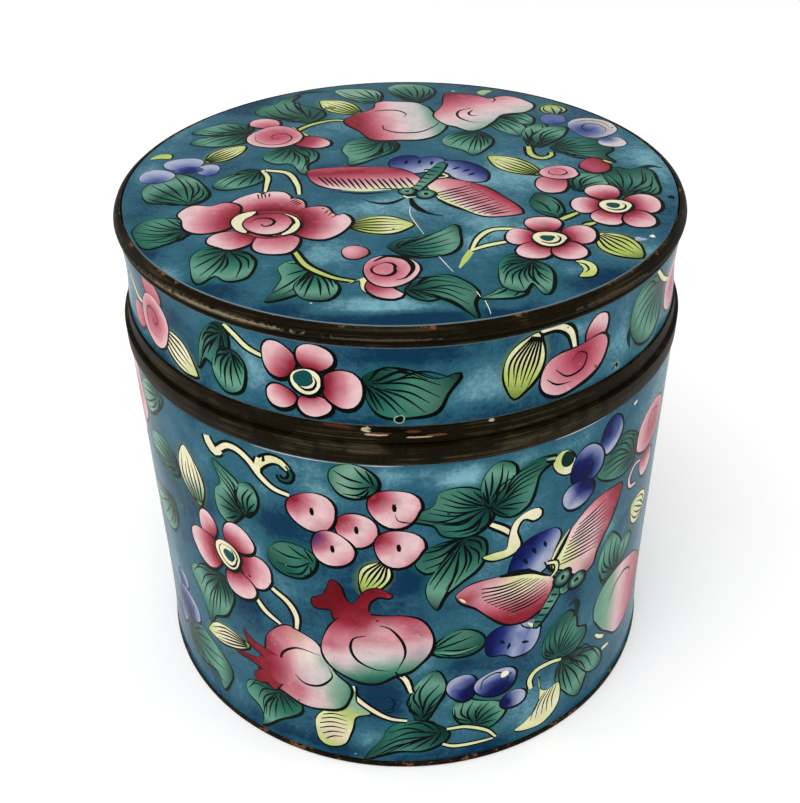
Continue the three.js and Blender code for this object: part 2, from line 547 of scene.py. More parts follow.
    def cut(self, grid):
        """Cuts all the shapes into one sheet: points, triangles and the top shape of each triangle."""
        points = [Vector(p) for p in grid]
        edges = []
        if self.split:
            heights = np.linspace(self.border[:, 1].min(), self.border[:, 1].max(), 40)
            points.extend(Vector((0, z)) for z in heights)
            edges = [(k, k + 1) for k in range(len(grid), len(points) - 1)]
        for outline in self.shapes:
            first, count = len(points), len(outline)
            edges += [(first + k, first + (k + 1) % count) for k in range(count)]
            points.extend(Vector(p) for p in outline.tolist())
        verts, _, tris = delaunay_2d_cdt(points, edges, [], 0, 1e-4, False)[:3]
        flat = np.array([tuple(v) for v in verts])
        corners = np.array(tris)
        return flat, corners, self.top_shapes(flat[corners].mean(axis=1))

    def top_shapes(self, places):
        """Number of the uppermost shape that each place lies in."""
        order = np.argsort(places[:, 0])
        x, y = places[order, 0], places[order, 1]
        found = np.zeros(len(places), int)
        for number, outline in enumerate(self.shapes[1:], 1):
            lows, highs = outline.min(axis=0), outline.max(axis=0)
            held = np.arange(np.searchsorted(x, lows[0]), np.searchsorted(x, highs[0]))
            held = held[(y[held] > lows[1]) & (y[held] < highs[1])]
            if not len(held):
                continue
            after = np.roll(outline, -1, 0)
            rises = (outline[:, 1:2] <= y[held]) & (after[:, 1:2] > y[held])
            falls = (outline[:, 1:2] > y[held]) & (after[:, 1:2] <= y[held])
            left = (after[:, 0:1] - outline[:, 0:1]) * (y[held] - outline[:, 1:2])
            left -= (x[held] - outline[:, 0:1]) * (after[:, 1:2] - outline[:, 1:2])
            turns = np.sum(rises & (left > 0), axis=0) - np.sum(falls & (left < 0), axis=0)
            found[held[turns != 0]] = number
        top = np.zeros(len(places), int)
        top[order] = found
        return top

    def colours(self, flat, corners, top):
        """Colour and coverage at each triangle corner."""
        paint = np.zeros((len(corners), 3, 4))
        order = np.argsort(top, kind="stable")
        bounds = np.searchsorted(top[order], np.arange(len(self.shapes) + 1))
        for k, shade in enumerate(self.shades):
            held = order[bounds[k]:bounds[k + 1]]
            if shade is None or not len(held):
                continue
            made = shade(flat[corners[held]].reshape(-1, 2))
            paint[held, :, 3] = 1
            paint[held, :, :made.shape[1]] = made.reshape(-1, 3, made.shape[1])
        return paint.reshape(-1, 4)


# Solids


def profile_ring(name, profile, steps, corner=0.0, closed=True):
    """Turns a profile of (radius, height) points about the jar's axis, its corners eased first."""
    work = bmesh.new()
    points = [work.verts.new((radius * MM, 0, height * MM)) for radius, height in profile]
    pairs = list(zip(points, points[1:]))
    if closed:
        pairs.append((points[-1], points[0]))
    for first, second in pairs:
        work.edges.new((first, second))
    if corner:
        bmesh.ops.bevel(
            work, geom=points, offset=corner * MM, offset_type="OFFSET", segments=3, profile=0.5,
            affect="VERTICES", material=-1,
        )
    bmesh.ops.spin(
        work, geom=list(work.verts) + list(work.edges), cent=(0, 0, 0), axis=(0, 0, 1),
        angle=TURN, steps=steps, use_merge=True, use_duplicate=False,
    )
    bmesh.ops.remove_doubles(work, verts=work.verts, dist=2e-6)
    bmesh.ops.recalc_face_normals(work, faces=work.faces)
    for face in work.faces:
        face.smooth = True
    for edge in work.edges:
        edge.smooth = edge.calc_face_angle(0) < SHARP_EDGE
    mesh = bpy.data.meshes.new(name)
    work.to_mesh(mesh)
    work.free()
    return mesh


def shown(mesh):
    """Puts a mesh in the scene as a piece of the same name at the origin."""
    piece = bpy.data.objects.new(mesh.name, mesh)
    bpy.context.scene.collection.objects.link(piece)
    return piece


def finish_piece(piece, node, material):
    """Gives a piece its finish, its place in the record and the node that it stands for."""
    piece.data.materials.clear()
    piece.data.materials.append(material)
    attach(piece, "root")
    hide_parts(node)


def radius_at(stations, height):
    """Radius and its change with height, on a smooth line through (height, radius) stations."""
    heights = np.array([s[0] for s in stations])
    radii = np.array([s[1] for s in stations])
    line = curve(np.stack([heights, radii], 1), step=0.25)
    slopes = np.gradient(line[:, 1], line[:, 0])
    return np.interp(height, line[:, 0], line[:, 1]), np.interp(height, line[:, 0], slopes)


def wrapped(flat, unroll_radius, stations):
    """Places and normals on the jar for points of an unrolled wall, (distance round, height)."""
    turn = flat[:, 0] / unroll_radius
    radius, slope = radius_at(stations, flat[:, 1])
    places = np.stack([radius * np.sin(turn), -radius * np.cos(turn), flat[:, 1]], 1)
    normals = np.stack([np.sin(turn), -np.cos(turn), -slope], 1)
    return places, unit(normals, 0)


def domed(flat):
    """Places and normals on the lid's top for points of its plan."""
    away = norm(flat, axis=1) / PLATE_RADIUS
    height = PLATE_EDGE + PLATE_CROWN * (1 - away**4)
    slope = 4 * PLATE_CROWN * away**2 / PLATE_RADIUS**2
    places = np.column_stack([flat, height])
    normals = np.column_stack([flat * slope[:, None], np.ones(len(flat))])
    return places, unit(normals, 0)


def read(items, key, width=1, kind=float):
    """One value of each item, or rows of several."""
    values = np.zeros(len(items) * width, kind)
    items.foreach_get(key, values)
    return values.reshape(-1, width) if width > 1 else values


def keep(mesh, name, kind, key, values):
    """Keeps a value or a row of them for each corner of a mesh."""
    mesh.attributes.new(name, kind, "CORNER").data.foreach_set(key, values.ravel())


def sheet_mesh(name, painting, grid, place, chart):
    """Cuts a painting, wraps it on the jar and keeps its colours, tones, normals and UV chart."""
    flat, corners, top = painting.cut(grid)
    places, normals = place(flat)
    mesh = bpy.data.meshes.new(name)
    mesh.from_pydata((places * MM).tolist(), [], corners.tolist())
    held = corners.ravel()
    keep(mesh, "paint", "FLOAT_COLOR", "color", painting.colours(flat, corners, top))
    keep(mesh, "tone", "FLOAT", "value", painting.tones(flat)[held])
    keep(mesh, "facing", "FLOAT_VECTOR", "vector", normals[held])
    mesh.uv_layers.new(name="OFBake").data.foreach_set("uv", chart(flat[corners]).ravel())
    return mesh


def plain_mesh(name, profile, strip):
    """Turns the unpainted rest of a wall, with its UVs in a strip of the chart between two heights."""
    mesh = profile_ring(name, profile, ROUND_STEPS, closed=False)
    line = np.array(profile, float)
    lengths = np.concatenate([[0], np.cumsum(norm(np.diff(line, axis=0), axis=1))])
    corner = read(mesh.vertices, "co", 3)[read(mesh.loops, "vertex_index", kind=int)] / MM
    middles = read(mesh.polygons, "center", 3)
    totals = read(mesh.polygons, "loop_total", kind=int)
    middle = np.repeat(np.arctan2(middles[:, 0], -middles[:, 1]), totals)
    away = np.hypot(corner[:, 0], corner[:, 1])
    turn = np.where(away < 0.01, middle, np.arctan2(corner[:, 0], -corner[:, 1]))
    turn = middle + (turn - middle + math.pi) % TURN - math.pi
    stood = np.stack([away, corner[:, 2]], 1)
    nearest = np.argmin(norm(stood[:, None] - line[None], axis=2), axis=1)
    along = lengths[nearest] / lengths[-1]
    across = CHART_EDGE + CHART_WIDTH * (turn / TURN + 0.5)
    up = strip[0] + (strip[1] - strip[0]) * along
    mesh.uv_layers.new(name="OFBake").data.foreach_set("uv", np.stack([across, up], 1).ravel())
    count = len(mesh.loops)
    keep(mesh, "paint", "FLOAT_COLOR", "color", np.tile([*COUNTER_ENAMEL, 1], count))
    keep(mesh, "tone", "FLOAT", "value", np.zeros(count))
    keep(mesh, "facing", "FLOAT_VECTOR", "vector", read(mesh.corner_normals, "vector", 3))
    return mesh


def joined(name, meshes):
    """Joins meshes edge to edge into one closed piece and sets the normals that they carry."""
    parts = [shown(mesh) for mesh in meshes]
    with bpy.context.temp_override(active_object=parts[0], selected_editable_objects=parts):
        bpy.ops.object.join()
    piece = parts[0]
    piece.name = name
    mesh = piece.data
    work = bmesh.new()
    work.from_mesh(mesh)
    bmesh.ops.remove_doubles(work, verts=work.verts, dist=4e-6)
    bmesh.ops.dissolve_degenerate(work, edges=work.edges, dist=1e-7)
    bmesh.ops.triangulate(work, faces=work.faces)
    if any(not edge.is_manifold for edge in work.edges):
        raise RuntimeError(f"{name} has open edges")
    for face in work.faces:
        face.smooth = True
    for edge in work.edges:
        edge.smooth = True
    work.to_mesh(mesh)
    work.free()
    normals = read(mesh.attributes["facing"].data, "vector", 3)
    mesh.attributes.remove(mesh.attributes["facing"])
    mesh.normals_split_custom_set(normals.tolist())
    return piece


# Chips on the lid's strap: place along it, height, reach along it and up, colour
STRAP_CHIPS = (
    (-10.2, 80.1, 2.2, 0.2, tint(76, 38, 24)), (-5.6, 79.8, 0.9, 0.42, tint(172, 158, 128)),
    (-4.0, 79.0, 2.0, 0.2, tint(172, 158, 128)), (-3.4, 79.25, 1.8, 0.2, tint(84, 46, 30)),
    (-2.2, 79.8, 3.2, 0.42, tint(8, 6, 4)), (2.6, 78.6, 2.3, 0.16, tint(164, 146, 114)),
    (2.4, 78.95, 2.6, 0.26, tint(6, 5, 3)), (5.2, 78.8, 1.5, 0.22, tint(92, 54, 34)),
    (1.6, 79.6, 1.2, 0.24, tint(80, 42, 28)), (13.6, 80.1, 0.4, 0.22, tint(170, 160, 132)),
)

# Painted highlights on the front of the moulding's ridge, where the light falls: middle, reach and colour
MOULDING_PAINTED_HIGHLIGHTS = (
    ((-31, -39.2, 96.0), (20, 14, 0.5), tint(62, 54, 40)),
    ((-28, -41.4, 96.1), (15, 10, 0.2), tint(116, 106, 84)),
    ((33, -37.6, 96.2), (9, 6, 0.22), tint(62, 52, 36)),
    ((-3, -50, 95.9), (9, 3, 0.16), tint(66, 60, 46)),
)


# Materials


def give(tree, made, inputs):
    """Gives a node its input values and links."""
    for key, value in inputs.items():
        if isinstance(value, bpy.types.NodeSocket):
            tree.links.new(value, made.inputs[key])
        else:
            made.inputs[key].default_value = value


def node(tree, kind, inputs=None, **settings):
    """Adds a node, with its settings and input values or links."""
    made = tree.nodes.new(kind)
    for key, value in settings.items():
        setattr(made, key, value)
    give(tree, made, inputs or {})
    return made


def maths(tree, operation, first, second):
    """One operation on two numbers or sockets."""
    return node(tree, "ShaderNodeMath", {0: first, 1: second}, operation=operation).outputs[0]


def plus(tree, first, second):
    """Two values added."""
    return maths(tree, "ADD", first, second)


def minus(tree, first, second):
    """The second value taken from the first."""
    return maths(tree, "SUBTRACT", first, second)


def times(tree, first, second):
    """Two values multiplied."""
    return maths(tree, "MULTIPLY", first, second)


def swing(tree, share, amount):
    """How far a share is from a half, times an amount."""
    return times(tree, minus(tree, share, 0.5), amount)


def mixed(tree, share, first, second):
    """Two colours mixed by a share."""
    return node(tree, "ShaderNodeMix", {0: share, 6: first, 7: second}, data_type="RGBA").outputs[2]


def ramp(tree, value, low, high):
    """A share that goes from 0 at the low value to 1 at the high one."""
    made = node(
        tree, "ShaderNodeMapRange", {"Value": value, "From Min": low, "From Max": high},
        interpolation_type="SMOOTHSTEP",
    )
    return made.outputs["Result"]


def opaque(colour):
    """A colour with full cover, as colour sockets take it."""
    return (*colour, 1.0)


def noise(tree, place, scale, detail=2.0, roughness=0.5, stretch=None, distortion=0.0):
    """Noise between 0 and 1, its scale in features per metre, stretched where asked."""
    if stretch:
        place = node(tree, "ShaderNodeMapping", {"Vector": place, "Scale": stretch}).outputs[0]
    made = node(
        tree, "ShaderNodeTexNoise",
        {"Vector": place, "Scale": scale, "Detail": detail, "Roughness": roughness, "Distortion": distortion},
    )
    return made.outputs["Fac"]


def group_tree(name, ins, outs):
    """A shader node group with its named sockets."""
    tree = bpy.data.node_groups.new(name, "ShaderNodeTree")
    for label, kind, value in ins:
        socket = tree.interface.new_socket(name=label, in_out="INPUT", socket_type=kind)
        socket.default_value = value
    for label, kind in outs:
        tree.interface.new_socket(name=label, in_out="OUTPUT", socket_type=kind)
    return tree, tree.nodes.new("NodeGroupInput"), tree.nodes.new("NodeGroupOutput")


def chip_and_highlight_group():
    """Mask of one ragged spot at a place on the surface, for a chip on the strap and for a painted highlight
    on the moulding.
    """
    tree, given, out = group_tree(
        "ragged_spot",
        [("At", "NodeSocketVector", (0, 0, 0)), ("Size", "NodeSocketVector", (0.001, 0.001, 0.001)),
         ("Ragged", "NodeSocketFloat", 0.5)],
        [("Mask", "NodeSocketFloat")],
    )
    place = node(tree, "ShaderNodeTexCoord").outputs["Object"]
    away = node(tree, "ShaderNodeVectorMath", {0: place, 1: given.outputs["At"]}, operation="SUBTRACT")
    scaled = node(tree, "ShaderNodeVectorMath", {0: away.outputs[0], 1: given.outputs["Size"]},
        operation="DIVIDE")
    length = node(tree, "ShaderNodeVectorMath", {0: scaled.outputs[0]}, operation="LENGTH").outputs["Value"]
    rough = swing(tree, noise(tree, place, 1400, 3), given.outputs["Ragged"])
    edge = plus(tree, length, times(tree, rough, 2.0))
    give(tree, out, {"Mask": minus(tree, 1.0, ramp(tree, edge, 0.85, 1.1))})


def bronze_group():
    """Dark bronze skin with brushing round the jar, rubbed places and flecks of bare copper."""
    tree, given, out = group_tree(
        "worn_bronze",
        [
            ("Skin", "NodeSocketColor", (0.02, 0.015, 0.01, 1)),
            ("Rubbed", "NodeSocketColor", (0.2, 0.17, 0.1, 1)),
            ("Copper", "NodeSocketColor", (0.3, 0.1, 0.03, 1)),
            ("Copper Low", "NodeSocketFloat", 0.0), ("Copper High", "NodeSocketFloat", 0.001),
            ("Copper Amount", "NodeSocketFloat", 0.5), ("Rubbing", "NodeSocketFloat", 0.5),
        ],
        [("Colour", "NodeSocketColor"), ("Roughness", "NodeSocketFloat"), ("Height", "NodeSocketFloat")],
    )
    place = node(tree, "ShaderNodeTexCoord").outputs["Object"]
    brushed = noise(tree, place, 900, 3, 0.6, (0.06, 0.06, 3.0))
    cloudy = noise(tree, place, 160, 4, 0.6)
    grain = noise(tree, place, 2600, 3, 0.6)
    streak = times(tree, ramp(tree, brushed, 0.42, 0.72), ramp(tree, cloudy, 0.4, 0.65))
    skin = mixed(tree, ramp(tree, grain, 0.35, 0.75), given.outputs["Skin"], opaque(DARK_SKIN))
    colour = mixed(tree, times(tree, streak, given.outputs["Rubbing"]), skin, given.outputs["Rubbed"])
    rise = node(tree, "ShaderNodeMapRange", {
        "Value": node(tree, "ShaderNodeSeparateXYZ", {0: place}).outputs["Z"],
        "From Min": given.outputs["Copper Low"], "From Max": given.outputs["Copper High"],
    }).outputs["Result"]
    flecks = plus(tree, noise(tree, place, 420, 5, 0.65), times(tree, rise, 0.32))
    limit = minus(tree, 1.02, times(tree, given.outputs["Copper Amount"], 0.3))
    bare = ramp(tree, minus(tree, flecks, limit), 0.0, 0.05)
    dull = plus(tree, 0.38, times(tree, cloudy, 0.22))
    fine = plus(tree, times(tree, brushed, 0.6), times(tree, grain, 0.25))
    give(tree, out, {
        "Colour": mixed(tree, bare, colour, given.outputs["Copper"]),
        "Roughness": plus(tree, dull, times(tree, bare, 0.12)),
        "Height": minus(tree, fine, times(tree, bare, 0.5)),
    })


def new_material(name):
    """A material with nodes, and their tree."""
    material = bpy.data.materials.new(name)
    material.use_nodes = True
    return material, material.node_tree


def shader(tree, colour, rough, shine, height, strength, distance):
    """The material's own shader, with a bump from a height."""
    bump = node(tree, "ShaderNodeBump", {"Strength": strength, "Distance": distance, "Height": height})
    surface = tree.nodes["Principled BSDF"]
    give(tree, surface, {
        "Base Color": colour, "Roughness": rough, "Specular IOR Level": shine,
        "Normal": bump.outputs["Normal"],
    })
    return surface


def on_strap(along, height):
    """Place on the lid's strap, from the distance round it and the height."""
    turn = along / STRAP_RADIUS
    return (STRAP_RADIUS * math.sin(turn), -STRAP_RADIUS * math.cos(turn), height)


def bronze_material(name, copper, rubbing, chips_and_highlights=(), ragged=0.5):
    """Bare metal of one fitting: where and how much copper shows, how rubbed it is, and its own spots, which
    are chips on the strap and painted highlights on the moulding.
    """
    metal = bpy.context.scene.jar_metal
    material, tree = new_material(name)
    low, high, amount = copper
    skin = node(tree, "ShaderNodeGroup", {
        "Skin": opaque(metal.bronze), "Rubbed": opaque(metal.rubbed), "Copper": opaque(metal.copper),
        "Copper Low": low * MM, "Copper High": high * MM, "Copper Amount": amount, "Rubbing": rubbing,
    }, node_tree=bpy.data.node_groups["worn_bronze"])
    colour = skin.outputs["Colour"]
    for at, size, mark_colour in chips_and_highlights:
        inputs = {"At": [v * MM for v in at], "Size": [v * MM for v in size], "Ragged": ragged}
        mark = node(tree, "ShaderNodeGroup", inputs, node_tree=bpy.data.node_groups["ragged_spot"])
        colour = mixed(tree, mark.outputs["Mask"], colour, opaque(mark_colour))
    rough, height = skin.outputs["Roughness"], skin.outputs["Height"]
    surface = shader(tree, colour, rough, METAL_SHINE, height, 0.5, 0.00012)
    surface.inputs["Metallic"].default_value = METAL_SHARE
    return material


def enamel_material():
    """Glossy enamel: a brushed cloudy blue ground and the flush colours of the painting on it."""
    enamel = bpy.context.scene.jar_enamel
    material, tree = new_material("fired_enamel")
    place = node(tree, "ShaderNodeTexCoord").outputs["Object"]
    paint = node(tree, "ShaderNodeAttribute", attribute_name="paint")
    # The tone attribute lightens and deepens the ground in patches, some of them painted highlights, painted
    # reflection and painted shade.
    tone = node(tree, "ShaderNodeAttribute", attribute_name="tone").outputs["Fac"]
    clouds = noise(tree, place, 55, 3, 0.5, distortion=0.4)
    strokes = noise(tree, place, 190, 4, 0.62, distortion=0.8)
    fine = noise(tree, place, 1500, 3, 0.6)
    light = plus(tree, tone, swing(tree, clouds, 2.0))
    light = plus(tree, light, swing(tree, strokes, 1.1))
    light = plus(tree, light, swing(tree, fine, 0.9))
    ground = mixed(tree, ramp(tree, light, 0.05, 1.25), opaque(enamel.ground), opaque(enamel.cloud))
    deep = ramp(tree, times(tree, light, -1.0), -0.2, 0.85)
    ground = mixed(tree, deep, ground, opaque(enamel.deep))
    dabs = noise(tree, place, 330, 4, 0.65, distortion=0.5)
    mottle = plus(tree, 0.62, times(tree, dabs, 0.5))
    hue = paint.outputs["Color"]
    brushed = node(tree, "ShaderNodeVectorMath", {0: hue, "Scale": mottle}, operation="SCALE").outputs[0]
    paleness = ramp(tree, node(tree, "ShaderNodeSeparateColor", {0: hue}).outputs["Red"], 0.05, 0.5)
    watery = times(tree, ramp(tree, noise(tree, place, 620, 4, 0.7), 0.55, 0.78), paleness)
    painted = mixed(tree, times(tree, watery, 0.2), brushed, opaque(WATER))
    colour = mixed(tree, paint.outputs["Alpha"], ground, painted)
    cells = node(tree, "ShaderNodeTexVoronoi", {"Vector": place, "Scale": 260.0, "Randomness": 1.0})
    chance = node(tree, "ShaderNodeSeparateColor", {0: cells.outputs["Color"]})
    dot = maths(tree, "LESS_THAN", cells.outputs["Distance"], times(tree, chance.outputs["Red"], 0.1))
    dark = times(tree, dot, maths(tree, "GREATER_THAN", chance.outputs["Green"], 0.78))
    light = times(tree, dot, maths(tree, "LESS_THAN", chance.outputs["Green"], 0.07))
    colour = mixed(tree, times(tree, dark, 0.8), colour, opaque(DARK_SPECK))
    colour = mixed(tree, times(tree, light, 0.55), colour, opaque(LIGHT_SPECK))
    rough = plus(tree, enamel.gloss, swing(tree, strokes, 0.12))
    height = plus(tree, noise(tree, place, 150, 2, 0.4), times(tree, dot, -0.1))
    shader(tree, colour, rough, ENAMEL_SHINE, height, 0.25, 0.0006)
    return material


def fired_enamel():
    """The enamel material, made the first time that it is asked for."""
    return bpy.data.materials.get("fired_enamel") or enamel_material()


# The painting on each face


# Where the ground is lighter or deeper: middle along and up, reach along and up, and how much
# The first patch on the lid's top, a light band near its front edge, is a painted highlight, and so are some
# of its other pale patches.
TOP_TONES = ((-3, -43.4, 9, 2.4, 1.5), (6, -47.8, 17, 2.6, -2), (-29, -38, 8, 2.6, -1.4),
    (0, -13, 8, 4.6, 0.7), (22, 3, 7, 6, 0.8), (-43, -12, 3, 8, -0.5), (31, -36, 6, 4, -1.3),
    (27, -33.6, 3, 1.8, 0.9), (45, 4, 2.6, 9, 0.7), (-19, -25, 3, 3, -0.6), (-41, -26, 2.6, 5, -1.1),
    (-17, -43.6, 4, 2, -0.8), (-30, 38, 12, 7, -0.6), (14, -1, 5, 4, 0.9), (-28, 11, 8, 4, 0.35),
    (-12, -28, 5, 5, 0.6), (-45, 2, 2.6, 8, 0.6), (12, 14, 4, 3, 0.5), (-12, 3, 4, 4, -0.5),
    (15, -18, 4, 4, 0.6), (33, -4, 3, 3, -0.5), (-37, -33, 3, 2, 0.8), (10, -24, 3, 3, 0.5),
    (-22, -38, 5, 2, 0.6), (19, -46, 5, 1.6, -0.8), (40, -28, 3, 3, 0.7))
# On the wall, the pale patches from -60 to -56 and from 52 to 60 along lighten its left and right sides as a
# painted reflection, and the wide patch at (0, 40) deepens the whole wall a little as painted shade.
WALL_TONES = ((9, 69.6, 5, 1.6, 1.1), (-12, 66, 4, 2, 0.5), (-28, 49, 4, 6, 0.6), (20, 58, 6, 6, 0.7),
    (3, 31, 4, 8, 0.6), (-5, 7, 6, 4, 0.8), (24, 12, 5, 6, 0.6), (-20, 58, 5, 5, -0.7), (1, 49, 4, 4, -0.8),
    (-4, 18, 5, 5, -1), (12, 27, 6, 3, -0.6), (33, 36, 4, 5, -0.6), (-40, 56, 5, 6, -0.5),
    (33, 12, 4, 6, 0.6), (-30, 36, 5, 5, -0.7), (-20, 4, 12, 2, -0.8), (12, 3, 14, 2, -0.8),
    (52, 68, 6, 5, 0.7), (-56, 30, 6, 20, 0.7), (60, 40, 7, 24, 0.8), (-23, 65, 4, 3, 0.6),
    (-20, 44, 5, 4, 0.5), (14, 49, 5, 4, 0.5), (8, 61, 3, 3, -0.5), (40, 46, 5, 6, 0.9),
    (0, 40, 400, 400, -0.15), (-36, 10, 4, 5, 0.5), (38, 25, 5, 5, 0.5), (-60, 62, 5, 9, 0.6),
    (6, 71, 30, 1.2, 0.5))
BAND_TONES = ((-24, 86, 4, 4, 0.7), (13, 86, 6, 4, 0.9), (-40, 90, 4, 3, -0.6), (0, 93, 12, 1.6, -0.8),
    (38, 86, 5, 5, 0.8), (-8, 81.4, 9, 1.4, -0.9), (12, 81.6, 9, 1.4, -0.8), (-55, 86, 5, 6, 0.7),
    (28, 92, 3, 2, 0.6), (58, 86, 6, 6, 0.7))


def paint_top_leaves(p):
    """Leaves on the lid's top, under the flowers."""
    p.leaf([(-35.5, -9.3), (-33.2, -6.5), (-33.8, -3), (-36.5, 0.8), (-40.5, 3.4), (-43.8, 0), (-45, -3.5),
        (-43, -7.5), (-39, -8.6)], 8, (PINE, JADE, LEAF, MINT, LEAF))
    p.leaf([(-34.4, -19), (-35.5, -15.8), (-38.5, -14), (-42, -14.5), (-43.8, -18), (-42.8, -21.5),
        (-40.5, -24.3), (-37, -22.5)], 10, (PINE, LEAF, JADE, JADE, LEAF))
    p.leaf([(-27, -25.5), (-30.5, -24.6), (-32.8, -27.5), (-32.5, -31.5), (-30.8, -35.8), (-28.5, -33.5),
        (-26.5, -35), (-23.6, -34), (-22.6, -30), (-24.5, -26.8)], 7)
    p.leaf([(-13.5, -32), (-16.5, -29.5), (-19, -31.5), (-18, -35), (-18.8, -38), (-20.2, -41.4),
        (-16.6, -40), (-14, -37.5)], 4, (LEAF, JADE, MINT, LEAF, PINE))
    p.leaf([(-13, -32.5), (-10.6, -35), (-9.5, -38), (-11, -41), (-14.5, -40.8), (-16, -37.8), (-15.2, -35)])
    p.leaf([(-2, -25.7), (-0.5, -23.5), (2, -22.6), (5, -21.5), (7.3, -20), (8.9, -18.5), (9.5, -21),
        (9.3, -25), (7.5, -28), (4, -29), (0.5, -28)], 9, base=(-1.4, -26.8))
    p.leaf([(0.7, -38.3), (3.5, -35.8), (7, -34.7), (9.8, -36.5), (11.2, -39.5), (10.5, -42.5), (11, -46.6),
        (8.8, -43.3), (6.5, -41.3), (4, -41.8), (1.8, -40.5)], 10, DARK_LEAF)
    p.leaf([(17.6, -37), (15.4, -37.8), (13.6, -40.2), (11.8, -41.4), (16.5, -41.2), (18.6, -39.5)], 2)
    p.leaf([(20, -30.3), (17.5, -28.6), (15.3, -31), (14.8, -35), (15.6, -38.2), (18.2, -39.4),
        (19.8, -37), (21.3, -40.3), (22.7, -38.5), (23, -34.5), (22, -31.8)], 11, bow=0.05)
    p.leaf(lens_points((26.2, -15.8), (23.5, -6.8), 5, 0.04, 0.45), 3, (LEAF, JADE, LEAF, PINE))
    p.leaf([(-25, 4), (-28, 4), (-31, 1.5), (-32.8, -2), (-30.5, -3.7), (-26.5, -2.5), (-24.2, 0.5)], 6)
    p.leaf([(30.2, -5.8), (29.2, -2), (31.5, 0.5), (35, 1), (36.6, -1), (35.8, -4), (33, -6.2)], 7)
    p.leaf([(38.8, -8), (36.5, -3), (36.3, 1), (38.5, 3.5), (41, 2.5), (43.5, 3.4), (45, 1), (44.9, -5),
        (43.5, -7.2), (41, -5.8)], 9, EVEN_LEAF, tail=[(43, 3), (45, 4.2), (47.2, 3.6)])
    p.leaf([(-29, 22), (-28.5, 24.5), (-31, 26), (-35, 26.2), (-39.8, 22.5), (-35, 20.9)], 7)
    p.leaf([(-29, 21.5), (-33, 20.4), (-38, 19), (-39.3, 16.8), (-35, 15.4), (-30.5, 16), (-28.3, 18.5)], 6,
        base=(-28.6, 21))
    p.leaf([(-17, 26.5), (-14.7, 29.5), (-16, 33), (-19.5, 35.5), (-22, 38), (-20.5, 41.3), (-23.5, 40),
        (-25, 36.5), (-27.8, 35), (-28.4, 32), (-26, 29.5), (-22, 28), (-19, 26.6)], 8,
        (LEAF, LEAF, LEAF, JADE, PINE), tail=[(-21.5, 40), (-19.5, 43), (-14, 43.4)], base=(-17.4, 27.2))
    p.leaf([(-20, 14.5), (-23, 13), (-25, 9.5), (-22.5, 6.8), (-19.5, 6.5), (-17.3, 2.6), (-16.2, 2.4),
        (-16.7, 6), (-15.3, 8.5), (-15.3, 11.5), (-17.5, 14)], 9)
    p.leaf([(-4, 36.8), (-3.6, 40), (-5, 43.5), (-9, 44.8), (-13, 44), (-12, 41), (-9, 38), (-6.5, 36.2)],
        6, (LEAF, JADE, SAGE, SAGE, SAGE))
    p.leaf([(4, 36.3), (7, 40), (7, 44), (4.5, 46.6), (0, 46.8), (-2.3, 44.5), (-1, 41), (1, 38)], 8,
        (PINE, LEAF, LEAF, JADE, SAGE))
    p.leaf([(-2, 16.8), (-6, 17.8), (-9.5, 16), (-10.5, 12.5), (-9.3, 9), (-9, 5.8), (-5.5, 8), (-1.5, 11),
        (-0.4, 14.5)], 9)
    p.leaf([(15.3, 20.2), (11.5, 20.3), (8.6, 17.5), (8.6, 14), (12, 11.5), (13.5, 9.5), (15.5, 11.5),
        (17.3, 15), (17, 18)], 9)
    p.leaf([(20.5, 28.8), (24, 29.6), (26.3, 27), (25.5, 23.8), (23, 25), (21, 27)], 4)
    p.leaf([(17, 28.6), (20, 27.5), (23.5, 24), (24.4, 20), (22.5, 18), (19.5, 21), (17.5, 24.5)], 7)
    p.leaf([(28, 24), (24.8, 22.5), (23.4, 18.5), (24.3, 13), (26.5, 14.5), (28.2, 19)], 6, base=(24.4, 13.4))
    p.leaf([(32, 22.4), (28.5, 22.2), (26, 19.5), (24.7, 15), (26, 12.7), (29, 15.5), (31, 18.5)], 7,
        base=(25, 13.4))
    p.leaf([(28, 12.5), (31, 16), (35, 16.7), (38.8, 14.5), (39.4, 11.5), (37.5, 9), (38.8, 5.8),
        (34.5, 8.5), (30.5, 9.8)], 9, DARK_LEAF)


